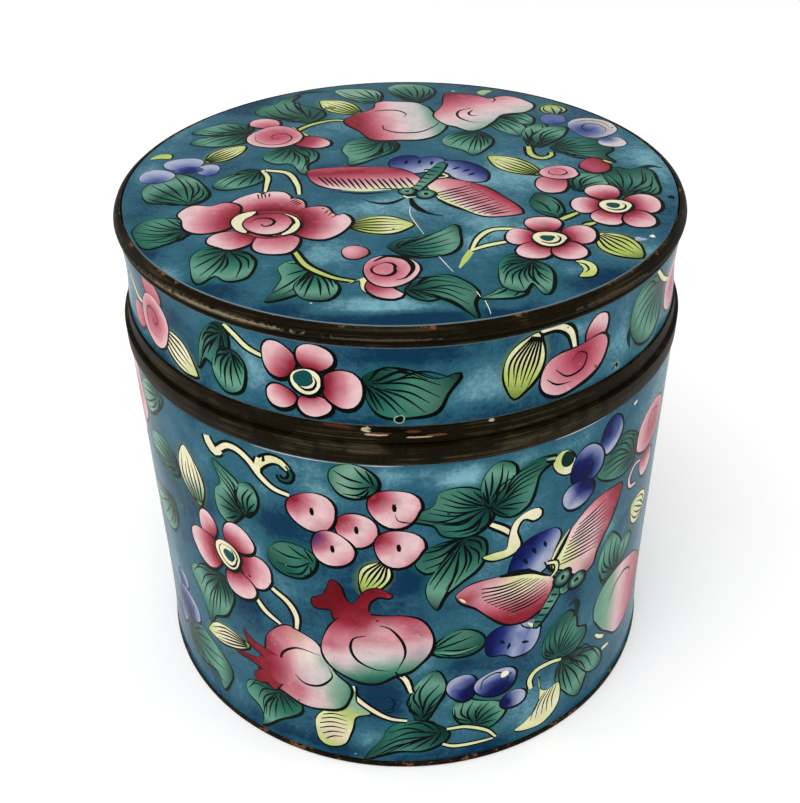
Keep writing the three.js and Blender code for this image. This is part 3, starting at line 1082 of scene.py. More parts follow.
def paint_top_stems(p):
    """Stems, buds and curls on the lid's top."""
    p.stem([(-24.6, 4), (-23.4, 1), (-23.3, -2), (-23.3, -5)], 0.8, CREAM, 0.3)
    p.stem([(-24, 4), (-20, 2.6), (-18, -2), (-17.3, -6.2)], 0.9, CREAM, 0.34)
    p.stem([(-16.8, -26.5), (-14.5, -31.3), (-10.5, -34.8), (-7, -36.2)], 0.8)
    p.inked([(-8, -36.8), (-6.3, -35.8), (-6, -38.4), (-4.6, -39.8), (-3.8, -37.5), (-4.6, -34.6)],
        CREAM, 0.25)
    p.line([(11.4, -26.4), (10.4, -29), (9, -32.6)], 1.1, LIME, (0.9, 0.3))
    p.stems([([(19, -20), (15, -20.2), (12.6, -22.8), (11.2, -26.8)], 0.8, CREAM),
        ([(16.8, -24.4), (13.6, -25.6), (11, -27.2)], 0.8, CREAM)], 0.3)
    p.stem([(26.5, -16.8), (29.6, -14.4)])
    p.stem([(30, -19), (32, -18)])
    p.inked([(27, -30), (29.5, -31.2), (30, -33), (29.2, -35), (27, -35.3), (28, -33)],
        wash((27, -30), (28, -35), CREAM, LIME), 0.3)
    p.line([(26.8, -31), (28.4, -31.6), (28.8, -33.2), (28, -34.2)])
    p.stem([(-18.3, 19.5), (-19.5, 21.8), (-17, 25), (-13, 27), (-10.3, 26.7)], 0.8)
    p.inked([(-21.5, 20.5), (-22, 23), (-20.5, 23.8), (-19.2, 22), (-17.2, 19.6), (-19.5, 20)],
        wash((-22, 23), (-17, 19), CREAM, LIME), 0.25)
    p.stem([(24, 13), (24.2, 9.2), (26, 7.6), (27.8, 8.8), (27.9, 10.2)], 1)
    p.bud((-8.7, -18), (2.3, -18), 6)
    p.bud((31.8, -21.8), (37.6, -29.4), 6.2, (CREAM, LIME, LIME, OLIVE))
    p.bud((-7.6, 30.2), (-16, 38), 5.6)
    p.oval((-13.7, 33.8), (1, 0.8), OLIVE, 0.1)
    p.bud((-35.4, 8), (-29, 15), 4.6)
    p.bud((25, 0.6), (16.3, 8.6), 5.4)
    p.bud((31, 29), (30.4, 34.6), 5, (OLIVE, SAGE, LIME, OLIVE), 3)
    p.inked([(16.2, 41.6), (17.6, 43), (19.4, 42.6), (18.2, 41), (17.4, 39.8)],
        wash((16, 43), (18, 40), LIME, SAGE), 0.15)
    p.inked([(-46, 10.4), (-44.6, 12.4), (-42.4, 12.2), (-42.2, 10.4), (-44, 10.6)], LIME, 0.25)
    p.stem([(29, 26), (30, 28.5), (30.6, 30)], 0.5, OLIVE, 0.2)


def paint_top_fruit(p):
    """Two peaches at the back of the lid's top."""
    p.fruit([(-10.6, 26.5), (-8, 30), (-5.2, 33), (-4.6, 35.8), (-3, 36.7), (0, 36.5), (3, 36), (5.5, 33.5),
        (7, 30), (7.6, 27), (9, 23.5), (7.5, 19.5), (4, 17), (0, 16.8), (-5, 17.5), (-8, 22)],
        wash((-10, 25), (9, 28), CRIMSON, CRIMSON, ROSE, PINK, BLUSH, MILK, MILK, MINT, MINT), [[(-5, 31.5),
        (-2, 32), (0.2, 31.4), (1.5, 29.6), (0.8, 28)], [(-3, 24), (-2.8, 22), (0, 20.3), (4, 20.5),
        (7, 23.4), (8, 26)]])
    p.fruit([(9.5, 41), (12, 41), (16, 39.5), (18.5, 38), (20, 39), (22.5, 39.3), (25.5, 37), (27, 34),
        (25, 30.5), (22, 29.5), (20, 28.5), (18, 25), (16, 22), (13.5, 21), (11, 23), (9, 24), (7.5, 27),
        (7.3, 30), (9, 35)], wash((10, 40), (20, 25), CRIMSON, ROSE, PINK, BLUSH, MILK, SAGE),
        [[(14.5, 32.5), (12, 31), (11.7, 28), (14, 25.3), (17, 25)], [(14.8, 31.6), (13.8, 29.6),
        (14.6, 28.4), (15.6, 28.8)]])
    p.line([(19.4, 38.6), (19.6, 37), (18.8, 35.6)])


def paint_top_peony(p):
    """The peony at the front left of the lid's top."""
    p.petal([(-23.8, -13.2), (-27.5, -11.8), (-28.7, -9.3), (-27.3, -6.8), (-24.5, -5.2), (-23.6, -6.3),
        (-22.6, -5.1), (-20, -5.3), (-18.6, -7.2), (-18.8, -8), (-17.8, -7.8), (-16.3, -9.2),
        (-16.2, -12.5), (-19.5, -13.6)], (-21.5, -15), DEEP_PETAL)
    p.petal([(-27.3, -16.5), (-29, -19), (-32.5, -19.8), (-35.2, -18), (-36.3, -15), (-37.3, -12.8),
        (-35.3, -9.8), (-32, -10), (-29.8, -9), (-27.2, -10.8)], (-24.5, -15.5))
    p.petal([(-16.8, -17.5), (-17.6, -13.5), (-15.5, -11.3), (-12.5, -11.2), (-11.2, -13.4), (-10.2, -14.4),
        (-9.4, -14), (-8.2, -16.8), (-9.5, -20.5), (-12.3, -22.6), (-15.5, -22), (-17.3, -20)],
        (-19, -16.8), DEEP_PETAL)
    p.petal([(-24.8, -19.5), (-27.5, -19.4), (-30.5, -20.8), (-31, -23.2), (-28.8, -24.8), (-27, -25.5),
        (-24.3, -24), (-23.2, -21.5)], (-22.5, -19))
    p.petal([(-22.5, -21), (-23.4, -25), (-21.5, -27.1), (-18, -27), (-16.5, -24.8), (-16.3, -22),
        (-19, -21)], (-19.6, -19.5), LIGHT_PETAL)
    p.oval((-21.7, -17), (5.7, 5), glow((-21.7, -17), 5.6, ROSE, CRIMSON), 0.12)
    p.inked([(-24.2, -12.4), (-26.8, -13.6), (-27.9, -16.2), (-26.8, -19), (-25, -20), (-25.6, -17.4),
        (-25, -14.6)], IVORY, 0.36)
    p.inked([(-19.4, -13.6), (-17.2, -15), (-16.4, -17.6), (-17.3, -20), (-19.3, -21), (-18.1, -18.6),
        (-18.1, -16.2)], IVORY, 0.36)
    p.inked([(-24, -20), (-22, -21), (-20.2, -21.2), (-20.6, -20.2), (-22.4, -19.7)], LIME, 0.25)
    p.oval((-21.8, -16.8), (3.9, 3.7), wash((-22.5, -13), (-21, -20), CRIMSON, ROSE, PINK, BLUSH))
    p.line([(-22.9, -17), (-22.4, -17.8), (-21.3, -17.6), (-20.7, -16.3), (-21.6, -15.1), (-23.6, -15),
        (-24.8, -16.6)], 0.6)
    p.hatch([(-24.5, -5.8), (-22.5, -5.6)], [(-24.1, -7.8), (-22.4, -7.2)], 4, 0.3)
    p.hatch([(-17.6, -8), (-16.6, -9.4)], [(-18.8, -9), (-17.6, -10.4)], 4, 0.35)
    p.hatch([(-12, -12.4), (-10.4, -14)], [(-12.6, -13.6), (-11.4, -15.2)], 3, 0.3)


def paint_top_roses(p):
    """The small roses and the blue flowers on the lid's top."""
    p.oval((-7.2, -27.2), (2.2, 2), glow((-8, -26.6), 3.6, BLUSH, PINK, CRIMSON), 0.3)
    p.petal([(-4.6, -35.5), (-5.3, -38), (-3.6, -40.4), (-1, -41.2), (0.4, -40), (-1.2, -38.2),
        (-1.8, -36)], (-4.6, -35.5), (CRIMSON, ROSE, BLUSH))
    p.oval((-1.5, -33), (4.3, 4.7), glow((-2.6, -33), 5.2, CRIMSON, ROSE, PINK, BLUSH), 0.32)
    p.line([(-4.2, -30.2), (-2, -28.6), (0.8, -29.6), (1.9, -32.4), (0.8, -35.2), (-0.8, -36)], 0.95)
    p.oval((-2.7, -32.6), (1.6, 1.7), glow((-2.9, -32.6), 1.9, ROSE, PINK), 0.4)
    p.petal([(-28.9, 25.2), (-28.6, 27.8), (-26, 28.6), (-23.7, 27), (-23.6, 24.2), (-26, 23.6)], (-25, 22),
        LIGHT_PETAL)
    p.petal([(-19.3, 18.4), (-16, 19), (-13.4, 17), (-13.2, 14.8), (-15.4, 13.6), (-18.4, 14.6),
        (-20, 16.6)], (-20.5, 18), (CRIMSON, CRIMSON, ROSE, BLUSH))
    p.oval((-23.6, 19.2), (5, 5.2), glow((-23.3, 19.8), 5.8, ROSE, ROSE, PINK, BLUSH), 0.34)
    p.line([(-22.6, 18.7), (-23.5, 18.2), (-24.3, 19.2), (-23.4, 20.6), (-21.4, 20.4), (-20.3, 18.4),
        (-21.6, 16), (-24.4, 15.4), (-27, 17.4), (-27.4, 20.6)], 0.3)
    for x, y, wide, tall, low in ((-39.3, 7.6, 3.5, 2.7, 0.8), (-34.4, 4.7, 2.1, 2.4, 0.9),
            (-43.5, 2.6, 3.2, 2.8, 0.3)):
        p.oval((x, y), (wide, tall), glow((x + low, y - tall), 2.1 * tall, IRIS, LILAC, HAZE, HAZE), 0.16)
    p.oval((-38, 4.8), (2.6, 1.4), glow((-38, 4.4), 2.8, COBALT, IRIS, LILAC), 0.1)
    p.oval((30.2, 26.4), (2.4, 2.7), glow((30.6, 24), 5, IRIS, LILAC, LILAC), 0.14)
    p.oval((40, 15.2), (2.6, 2.4), glow((39, 17), 4.4, IRIS, LILAC, MILK, MILK), 0.16)
    p.oval((37.2, 22.2), (4.5, 5), glow((35.6, 20.8), 8, IRIS, LILAC, MILK, MILK), 0.2)
    p.line([(37.6, 21.6), (36.4, 20.6), (35.2, 22), (36.2, 24), (38.6, 23.8), (39.8, 21.4), (38.6, 18.8)],
        0.3)
    p.line([(34, 24.6), (36.6, 26), (39.6, 24.8), (41, 21.6)], 0.3)
    p.petal([(32.3, 3.6), (33.4, 6.4), (35.4, 7.6), (37.6, 5.4), (37.2, 2.4), (34.6, 1.4)], (31.6, 2.2),
        (CRIMSON, ROSE, CRIMSON))
    p.petal([(28.6, -0.2), (24.8, -0.6), (23.8, -4), (25.2, -6.6), (28, -6.2), (29.2, -3)], (29, 0),
        LIGHT_PETAL)
    p.oval((28.4, 1.4), (3.3, 2.8), glow((28, 1.6), 3.8, ROSE, PINK, BLUSH), 0.32)
    p.oval((28.2, 1.6), (1.5, 1.2), glow((28.2, 1.6), 1.6, ROSE, PINK), 0.22)
    p.stem([(37, 6.6), (38.4, 5.4)], 0.6)
    p.flower((36.2, -11.9), (2.7, 2.3), ((31.4, -11.6, 2.6, 2.9), (40.9, -10.9, 3.3, 3.4),
        (34.3, -16, 2.6, 2.9), (39.4, -16.6, 2.7, 2.9), (34.9, -6.6, 2.9, 2.9)))
    p.flower((23.9, -23.4), (2.6, 2.4), ((19.2, -22.6, 2.4, 2.6), (28.9, -22, 2.8, 3),
        (21, -27.2, 2.7, 2.7), (26.6, -27.3, 2.8, 2.8), (23.4, -18.4, 2.9, 2.7)))


def paint_top_butterfly(p):
    """The butterfly in the middle of the lid's top."""
    p.inked([(-1.9, 5.2), (-1.6, 7.8), (0.6, 9.2), (2.8, 9), (3.8, 8), (5, 9), (7.4, 8.2), (8.2, 6.4),
        (6.6, 3.6), (3, 2), (0, 3.4)], wash((0.5, 9.5), (3.5, 3), COBALT, IRIS, LILAC, HAZE), 0.36)
    p.inked([(7.2, 6), (9.6, 6.9), (12.6, 6.3), (14.8, 3.8), (15.5, 0.8), (14.8, -1.9), (11.4, -1.6),
        (8.6, 1.2), (7.2, 3.6)], wash((14, 5), (8.5, 0.6), COBALT, IRIS, LILAC, HAZE, HAZE), 0.36)
    for x, y in ((1.2, 6.5), (3.6, 6.6), (5.8, 6)):
        p.line([(x + 0.2, y + 0.9), (x - 0.1, y - 0.9)], 0.7)
    for x, y in ((10.2, 3.6), (12, 2.6), (12.8, 1)):
        p.line([(x + 0.7, y + 0.6), (x - 0.8, y - 0.5)], 0.7)
    p.inked([(-16, 3.7), (-10, 4.7), (-5, 4.8), (0, 3.5), (3.5, 0), (3.2, -2.6), (1, -4.5), (-3, -4.3),
        (-10, -4.6), (-13.5, -3), (-15.9, 0)], wash((-7, 4.8), (-6, -5), ROSE, CRIMSON, ROSE, PINK, BLUSH,
        CREAM), 0.34)
    p.hatch([(-14.4, 0.8), (-9, 0), (-3, -0.4), (1.2, 0)], [(-12.4, -2.9), (-6.6, -4.4), (-0.6, -4.6),
        (2.6, -3.6)], 16, 0.46)
    p.hatch([(-11, 3), (-7, 3.4)], [(-10.4, 2.2), (-6.6, 2.6)], 3, 0.22, CRIMSON)
    p.line([(-10.8, -5.4), (-6, -6.2), (-1.4, -5.6)], 0.6)
    p.line([(-10, -4.6), (-6, -5), (-1.4, -4.7)], 0.75, CREAM)
    p.inked([(5, -3), (7.5, -0.5), (11, -1.5), (15, -4.5), (17.5, -8), (20.5, -13.5), (19.5, -15),
        (15, -15.3), (12, -14), (8, -10), (6, -7.5)], wash((17, -4), (8.6, -10), CRIMSON, CRIMSON, ROSE,
        PINK, PINK, BLUSH, CREAM), 0.34)
    p.hatch([(6, -6.6), (8, -9.8), (12, -13.6), (15, -14.8)], [(12.6, -3.4), (14.6, -6.8), (17, -10.4),
        (18.8, -13.6)], 13, 0.46)
    p.line([(6.4, -9), (9, -11.6), (12.4, -14.4)], 0.9)
    p.line([(6.6, -8.4), (9.2, -10.9), (12, -13.4)], 0.5, CREAM)
    p.stem([(4.5, 2.6), (6, 2.6), (8.5, 0.4), (6.4, -0.4)], 0.5, CREAM)
    p.line([(1.4, -7.6), (-1.4, -10), (-4, -10), (-6.5, -8.4)], 0.9)
    p.line([(1.8, -7.6), (2.4, -11), (4.4, -13.8), (7.2, -15.2)], 1.2)
    p.inked([(7.2, 6), (8.4, 5.4), (7, 1.4), (4.6, -3.4), (1.8, -7.4), (1.4, -6.2), (3.8, -1), (5.6, 3.6)],
        wash((8, 6), (1.5, -7), JADE, JADE, MINT, JADE), 0.36)
    for k in range(7):
        x, y = 6.8 - 0.7 * k, 4.2 - 1.5 * k
        p.line([(x - 0.8, y + 0.2), (x + 0.9, y - 0.5)], 0.5)
    p.oval((1.2, -5.5), (1.3, 1.3), glow((1.2, -5.5), 1.4, SAGE, MINT, TEAL))
    p.oval((4.5, -6.7), (1.6, 1.5), glow((4.5, -6.7), 1.6, SAGE, MINT, TEAL))
    p.oval((1.2, -5.5), (0.4, 0.4), INK, 0)
    p.oval((4.6, -6.6), (0.5, 0.5), INK, 0)
    p.line([(0.6, -7.2), (1.4, -8), (2.8, -7.6)], 0.5, CREAM)


def paint_top_damage(p):
    """Hairline cracks and chips that the lid's top has."""
    for points in ([(1.7, -11.5), (1.8, -15), (3.8, -21.5)], [(6, -29), (7, -31.4), (8, -33.7)],
            [(11.2, -39.5), (11.7, -41)], [(12.3, -42), (12.7, -44), (12.9, -45.6)]):
        p.line(points, 0.15, WHITE, (0.8, 0.6))
    p.oval((38.3, -23.5), (0.9, 0.6), HAZE, 0, 0.2)
    p.oval((40.5, -22.5), (0.5, 0.4), WHITE, 0, 0.2)
    p.oval((46.4, -8.4), (0.55, 0.8), INK, 0, 0.1)


def paint_band_marks(p):
    """Pinholes in the band's enamel and the pale line where it meets the strap."""
    p.oval((-0.6, 81.6), (0.78, 0.74), SAGE, 0)
    p.oval((-0.6, 81.6), (0.6, 0.58), INK, 0)
    p.oval((37.5, 81.6), (0.6, 0.54), SAGE, 0)
    p.oval((37.5, 81.6), (0.4, 0.36), INK, 0)
    p.line([(36.2, 81), (37.6, 82.2)], 0.3)


def paint_wall_marks(p):
    """Pale enamel left along the strap at the mouth, and pits lower down."""
    for start, end in ((-25, -8), (-7, 0), (25, 36)):
        p.line([(start, 73.38), ((start + end) / 2, 73.34), (end, 73.38)], 0.18, MILK)
    p.oval((44.4, 71.6), (0.5, 0.4), IVORY, 0)


def paint_wall_leaves(p):
    """Leaves on the front of the wall."""
    p.leaf([(-28.6, 57), (-31.5, 53.8), (-34, 55.5), (-34.4, 60), (-32.6, 62.5), (-34.2, 66.8),
        (-31.5, 65.5), (-28.8, 63.5), (-28, 60)], 7, (PINE, LEAF, MINT, JADE, LEAF))
    p.leaf([(-28, 57.2), (-29.4, 60.5), (-28.6, 63.8), (-26.3, 64.6), (-25.2, 62), (-25.8, 59)], 5)
    p.leaf([(-11.6, 69.5), (-11.4, 72), (-9, 73.4), (-6.6, 73), (-4.4, 70.6), (-4.6, 68.2), (-7.2, 66.6),
        (-10, 67.2)], 5, (PINE, JADE, SAGE, JADE), base=(-4.6, 69))
    p.leaf([(-15.2, 52.6), (-18, 54.2), (-21.5, 53.8), (-24, 51.4), (-23.6, 48.6), (-21, 46.8),
        (-17.8, 46.8), (-15.6, 49.4)], 5, SOFT_LEAF, base=(-15.4, 51))
    p.leaf([(14.2, 63), (12.8, 66.5), (9.6, 68), (5.6, 67.6), (4.4, 65), (0.6, 62.6), (4.6, 61),
        (6.4, 58.6), (10.8, 57.7), (13.8, 60)], 13, EVEN_LEAF)
    p.leaf([(13.8, 63.2), (12.4, 66.5), (13, 70.4), (15.2, 72.3), (17.7, 70.6), (17.6, 67), (16, 64)], 6)
    p.leaf([(14.2, 63), (16.8, 67), (19.4, 69.8), (22.8, 70.6), (25.3, 69.6), (22.6, 67.6), (21.6, 64.8),
        (20.4, 61.6), (17.4, 60.2)], 9, EVEN_LEAF)
    p.leaf([(9.6, 57.3), (5.4, 56.6), (2.4, 54.8), (1.8, 52.4), (3.6, 50.6), (6, 51.6), (8, 54)],
        6, (PINE, LEAF, LEAF, JADE))
    p.leaf([(9.8, 57.4), (13, 56.6), (13.4, 53.4), (12, 50), (9, 47.4), (6.6, 45), (5.4, 41.6), (4, 44),
        (3.8, 48), (6, 52.4)], 8, EDGED_LEAF)
    p.leaf([(-36, 39.2), (-40, 38.4), (-44.6, 35.8), (-46.2, 33), (-44, 29.6), (-42.6, 26), (-41.6, 22.6),
        (-39.6, 26), (-36, 29), (-33.6, 33.6), (-34, 37.2)], 9,
        (PINE, LEAF, MINT, JADE, PINE), base=(-36.4, 38.8))
    p.leaf([(-25.8, 15.4), (-29.6, 14.4), (-32.6, 12.6), (-33, 9.6), (-30, 7.4), (-29.2, 4.4), (-29.8, 2.4),
        (-26.4, 5.6), (-22.6, 8.6), (-20.4, 11.4), (-21, 14), (-23.4, 15)], 9, base=(-25, 15))
    p.leaf([(5.4, 26), (6.9, 22), (5.8, 17.6), (4, 14.2), (2.2, 12.6), (0.8, 16), (0.8, 20.4), (2.4, 24)],
        6, base=(2.4, 13.2))
    p.leaf([(4, 31.4), (6, 34.4), (9.4, 35.8), (13, 34.2), (14, 31.6), (12, 29.6), (8, 29.2)],
        5, SOFT_LEAF)
    p.line([(5, 31), (9, 30.2), (13, 31)], 0.5, MINT)
    p.leaf([(-4, 9.5), (-2, 12), (2, 12.7), (5, 11.4), (7.2, 10), (7.5, 7.5), (3, 4.6), (-2, 4.6),
        (-6, 2.6), (-8, 1.7), (-6.4, 4.6)], 8, DARK_LEAF, base=(6.6, 9.4))
    p.leaf([(12.4, 9.6), (9.2, 12), (8.6, 15.4), (10.2, 17.6), (13, 16.4), (15, 15.6), (17.6, 14),
        (18.6, 11), (16.4, 8.4), (14, 8.2)])
    p.leaf([(29, 20), (26.4, 22.4), (26.4, 26.6), (28.6, 29.8), (31.8, 31.2), (33.8, 28.6), (34.4, 25),
        (36.8, 23.6), (37, 21), (34, 18.8), (31, 18.8)], 9, (LEAF, LEAF, JADE, LEAF, LEAF), base=(29.6, 20))
    p.line([(33.6, 28.5), (34, 31.2), (33, 33), (31.6, 32.4)], 1.5, PINE, (1, 0.4))
    p.leaf([(47, 59.8), (46, 57.6), (42, 57.2), (38, 58.6), (35.2, 61.4), (36.6, 64.8), (40, 66.4),
        (44, 65.8), (47.2, 63)], 9, (PINE, LEAF, JADE, LEAF, JADE))
    p.leaf([(41.5, 44), (43.8, 42.4), (46, 39), (46.4, 35), (44.8, 31.6), (42.4, 30.6), (40, 33.6),
        (39, 37.6), (39.6, 41.4)], 6, base=(44.6, 31.4))
    p.leaf([(46, 32), (48.4, 34), (50.6, 37.2), (48, 39.4), (46, 37)], 3)
    p.leaf([(31, 18.6), (30, 14), (32, 9.6), (36.2, 4.8), (38, 7), (38.8, 11), (36, 15), (33, 17.4)], 6)
    p.leaf([(33, 18.4), (37.4, 17), (41.6, 13.6), (44, 10), (43.2, 7.8), (39.6, 9), (36.6, 12.6)], 6)
    p.leaf([(-58, 66.4), (-56.6, 70.4), (-52, 73), (-47.2, 72.2), (-50, 68), (-54, 65.6)], 6,
        PALE_LEAF, base=(-47.6, 72))
    p.leaf([(-57, 57.6), (-54, 61), (-49.6, 62.4), (-45.4, 60.6), (-45.2, 57), (-48.6, 55.4), (-53, 55.2)],
        6, base=(-45.4, 58))
    p.line([(-57, 56), (-51, 56), (-46.4, 53), (-45, 49), (-46, 46.6)], 1.8, LEAF, (0.6, 0.2))
    p.leaf([(-49.6, 48.4), (-54, 47.6), (-60, 45), (-62, 41.4), (-58, 38.4), (-52.4, 39), (-49.2, 43)], 7,
        base=(-49.8, 47.8))
    p.leaf([(-53, 13), (-50.4, 17), (-45, 17.6), (-39, 14.6), (-37.2, 10.6), (-40, 5), (-42, 8.4),
        (-48, 7.6), (-52.6, 9)], base=(-52, 12))


def paint_wall_stems(p):
    """Scrolls, stems and buds on the front of the wall."""
    p.stems([([(-34.6, 71.3), (-34.2, 70), (-32.9, 68.6), (-31.6, 69.4)], 1.7, IVORY), ([(-32.9, 68.8),
        (-31.3, 70.3), (-30, 71.2), (-28, 71.2), (-25.8, 69.8), (-23.9, 67.3), (-21.6, 65.5),
        (-18.8, 64.9)], 1.1, IVORY), ([(-24.3, 68), (-24.2, 69.6), (-23.9, 71.1)], 1.1, IVORY),
        ([(-24.2, 69.2), (-23, 70.7), (-21.4, 71.6), (-19.8, 71.4), (-18.6, 70.2)], 1.4,
        tint(222, 220, 168)), ([(-19, 70.9), (-18.1, 69.4), (-18.7, 68), (-20, 67.9), (-20.4, 68.8)], 0.5,
        LEAF),], 0.42)
    p.line([(-22.9, 72.2), (-22.9, 70.9), (-23.3, 70.6)], 0.6)
    p.bud((-39.3, 53.4), (-41.6, 65.4), 6.6, (OLIVE, SAGE, IVORY, IVORY, IVORY), 5, 0.04)
    p.bud((-3.2, 53.2), (-7.2, 45.8), 4.8, RIPE_BUD)
    p.stem([(-24, 42), (-21, 39.8), (-19.6, 36.8), (-19.8, 33.4)], 1, IVORY, 0.46)
    p.stem([(-27.6, 37.6), (-26, 35.4), (-23, 33.5)], 1, IVORY, 0.46)
    p.bud((-31, 23.6), (-43.3, 19.4), 5, (OLIVE, IVORY, IVORY, LIME), 5, -0.04)
    p.stem([(-2.2, 26.4), (-0.2, 24.2), (0.8, 20.6)], 0.9, IVORY, 0.42)
    p.stem([(14.2, 59.4), (16.6, 57.6), (18.6, 55.4)], 0.9, IVORY, 0.42)
    p.inked([(13, 52.4), (15, 51.2), (18, 51.4), (19.6, 53), (18.8, 56.4), (20, 58.6), (22, 57.6),
        (23.4, 58.4), (22.8, 60), (20.4, 60), (18.2, 58.4), (17.6, 55), (17.2, 53), (15, 53)],
        wash((13, 51), (23, 60), LIME, IVORY, IVORY), 0.34)
    p.stem([(-9.8, 21.6), (-9.4, 18.6), (-6, 15.2), (-3, 13.4), (0, 12.9)], 0.9, IVORY, 0.42)
    p.inked([(-9.6, 20), (-9.4, 17), (-6.6, 14.4), (-9.6, 13), (-10.6, 9), (-11.8, 5.2), (-15, 3.8),
        (-17.2, 5.4), (-17.4, 10), (-15, 13.6), (-12, 15.2)], lit(wash((-9, 16), (-15, 5), SAGE, LIME,
        CREAM, CREAM, LIME), ((-14, 7.6), 3, BLUSH, 0.6)), 0.3)
    p.hatch([(-16, 12), (-16.8, 8.6), (-15.6, 5.4)], [(-11.4, 12.8), (-11.2, 9.6), (-12.2, 7)], 6, 0.36,
        INK, 0.12)
    p.line([(-5, 15.6), (-3, 16), (-2.2, 18), (-3.4, 19.6), (-4.6, 18.4)], 0.3)
    p.line([(-4.4, 14.8), (-2.4, 15.6), (-2.8, 16.8)], 0.3)
    p.stem([(7.4, 9.8), (11, 9.6), (15, 7.4), (17, 4.8)], 0.7, CREAM, 0.28)
    p.stem([(6.6, 5.8), (9, 4.8), (14, 4.6), (16.4, 4.6)], 0.7, CREAM, 0.28)
    p.inked([(25, 68.6), (26.4, 70.4), (28.4, 69.6), (29.6, 67), (28.6, 65), (26.4, 66)],
        wash((25, 70), (29, 66), LIME, IVORY), 0.3)
    p.oval((27.9, 68.4), (1.3, 1.6), PINE, 0.1, 0.04, 0.5)
    p.stem([(25.4, 69.6), (23.6, 70)], 0.6, SAGE)
    p.stem([(24.2, 14.6), (23.8, 17.2), (25.2, 19.2), (28.4, 19.4), (31, 18.6)], 1, CREAM, 0.28)
    p.inked([(26, 17.4), (26.2, 13.6), (28.2, 11.8), (30.8, 12.4), (31.3, 9), (30.4, 5.4), (27.6, 3.2),
        (24.6, 3.4), (21, 4.6), (23.6, 6), (26, 9)], wash((26, 16), (25, 4), LIME, CREAM, IVORY, CREAM),
        0.24)
    p.hatch([(27.6, 11.6), (30.4, 12)], [(24.4, 5.4), (29.6, 6)], 5, 0.32, INK, -0.08)
    p.bud((57, 39.4), (48.8, 45.6), 6.4, (LIME, CREAM, IVORY, LIME))
    p.stem([(44, 15.2), (42, 16.8), (41, 18)], 0.9, IVORY, 0.2)
    p.stem([(44, 11.6), (46.6, 11)], 0.9, IVORY, 0.2)
    p.stem([(49, 51), (46.8, 51.6), (46, 54), (47.6, 56), (50, 55.6)], 0.7, BLUSH, 0.3)


def paint_wall_berries(p):
    """Five round berries."""
    for x, y, reach in ((-7.8, 59.7, 3.5), (-15.1, 62.4, 4.1), (-12, 54.9, 3.7), (-1, 56.2, 4),
            (-1.6, 64.8, 4)):
        shade = glow((x - 0.8 * reach, y + 0.5 * reach), 1.9 * reach, CRIMSON, CRIMSON, ROSE, PINK, BLUSH,
            BLUSH, BLUSH, PINK)
        shade = lit(shade, ((-14.8, 56.8), 1.7, IRIS, 0.9), ((x + 0.4 * reach, y - 0.7 * reach), 1.3, ROSE,
            0.35))
        p.oval((x, y), (reach, reach), shade, 0.4, 0.05)
        p.line([(x, y + 0.9), (x + 0.1, y - 0.7)], 0.8, INK, (0.6, 0.6))
    p.line([(1.4, 61.6), (-1, 62.2), (-1.4, 63.8)], 0.3)


def paint_wall_flower(p):
    """The pink flower on the left of the wall."""
    p.flower((-33.4, 45.3), (2.8, 3.2), ((-37.9, 50, 2.3, 3.2), (-27.2, 44.4, 3.3, 3.8),
        (-39.2, 43.6, 4.2, 4.3), (-31.2, 39.3, 3.5, 3.2), (-30.4, 50.6, 3.5, 3.1)))
    p.oval((-33.3, 45.3), (1.9, 2.3), IVORY, 0.26)
    p.oval((-33.2, 45.4), (1, 1.3), TEAL, 0.1)
    p.line([(-32.4, 47), (-31.9, 45.4), (-32.7, 43.8)], 0.44)


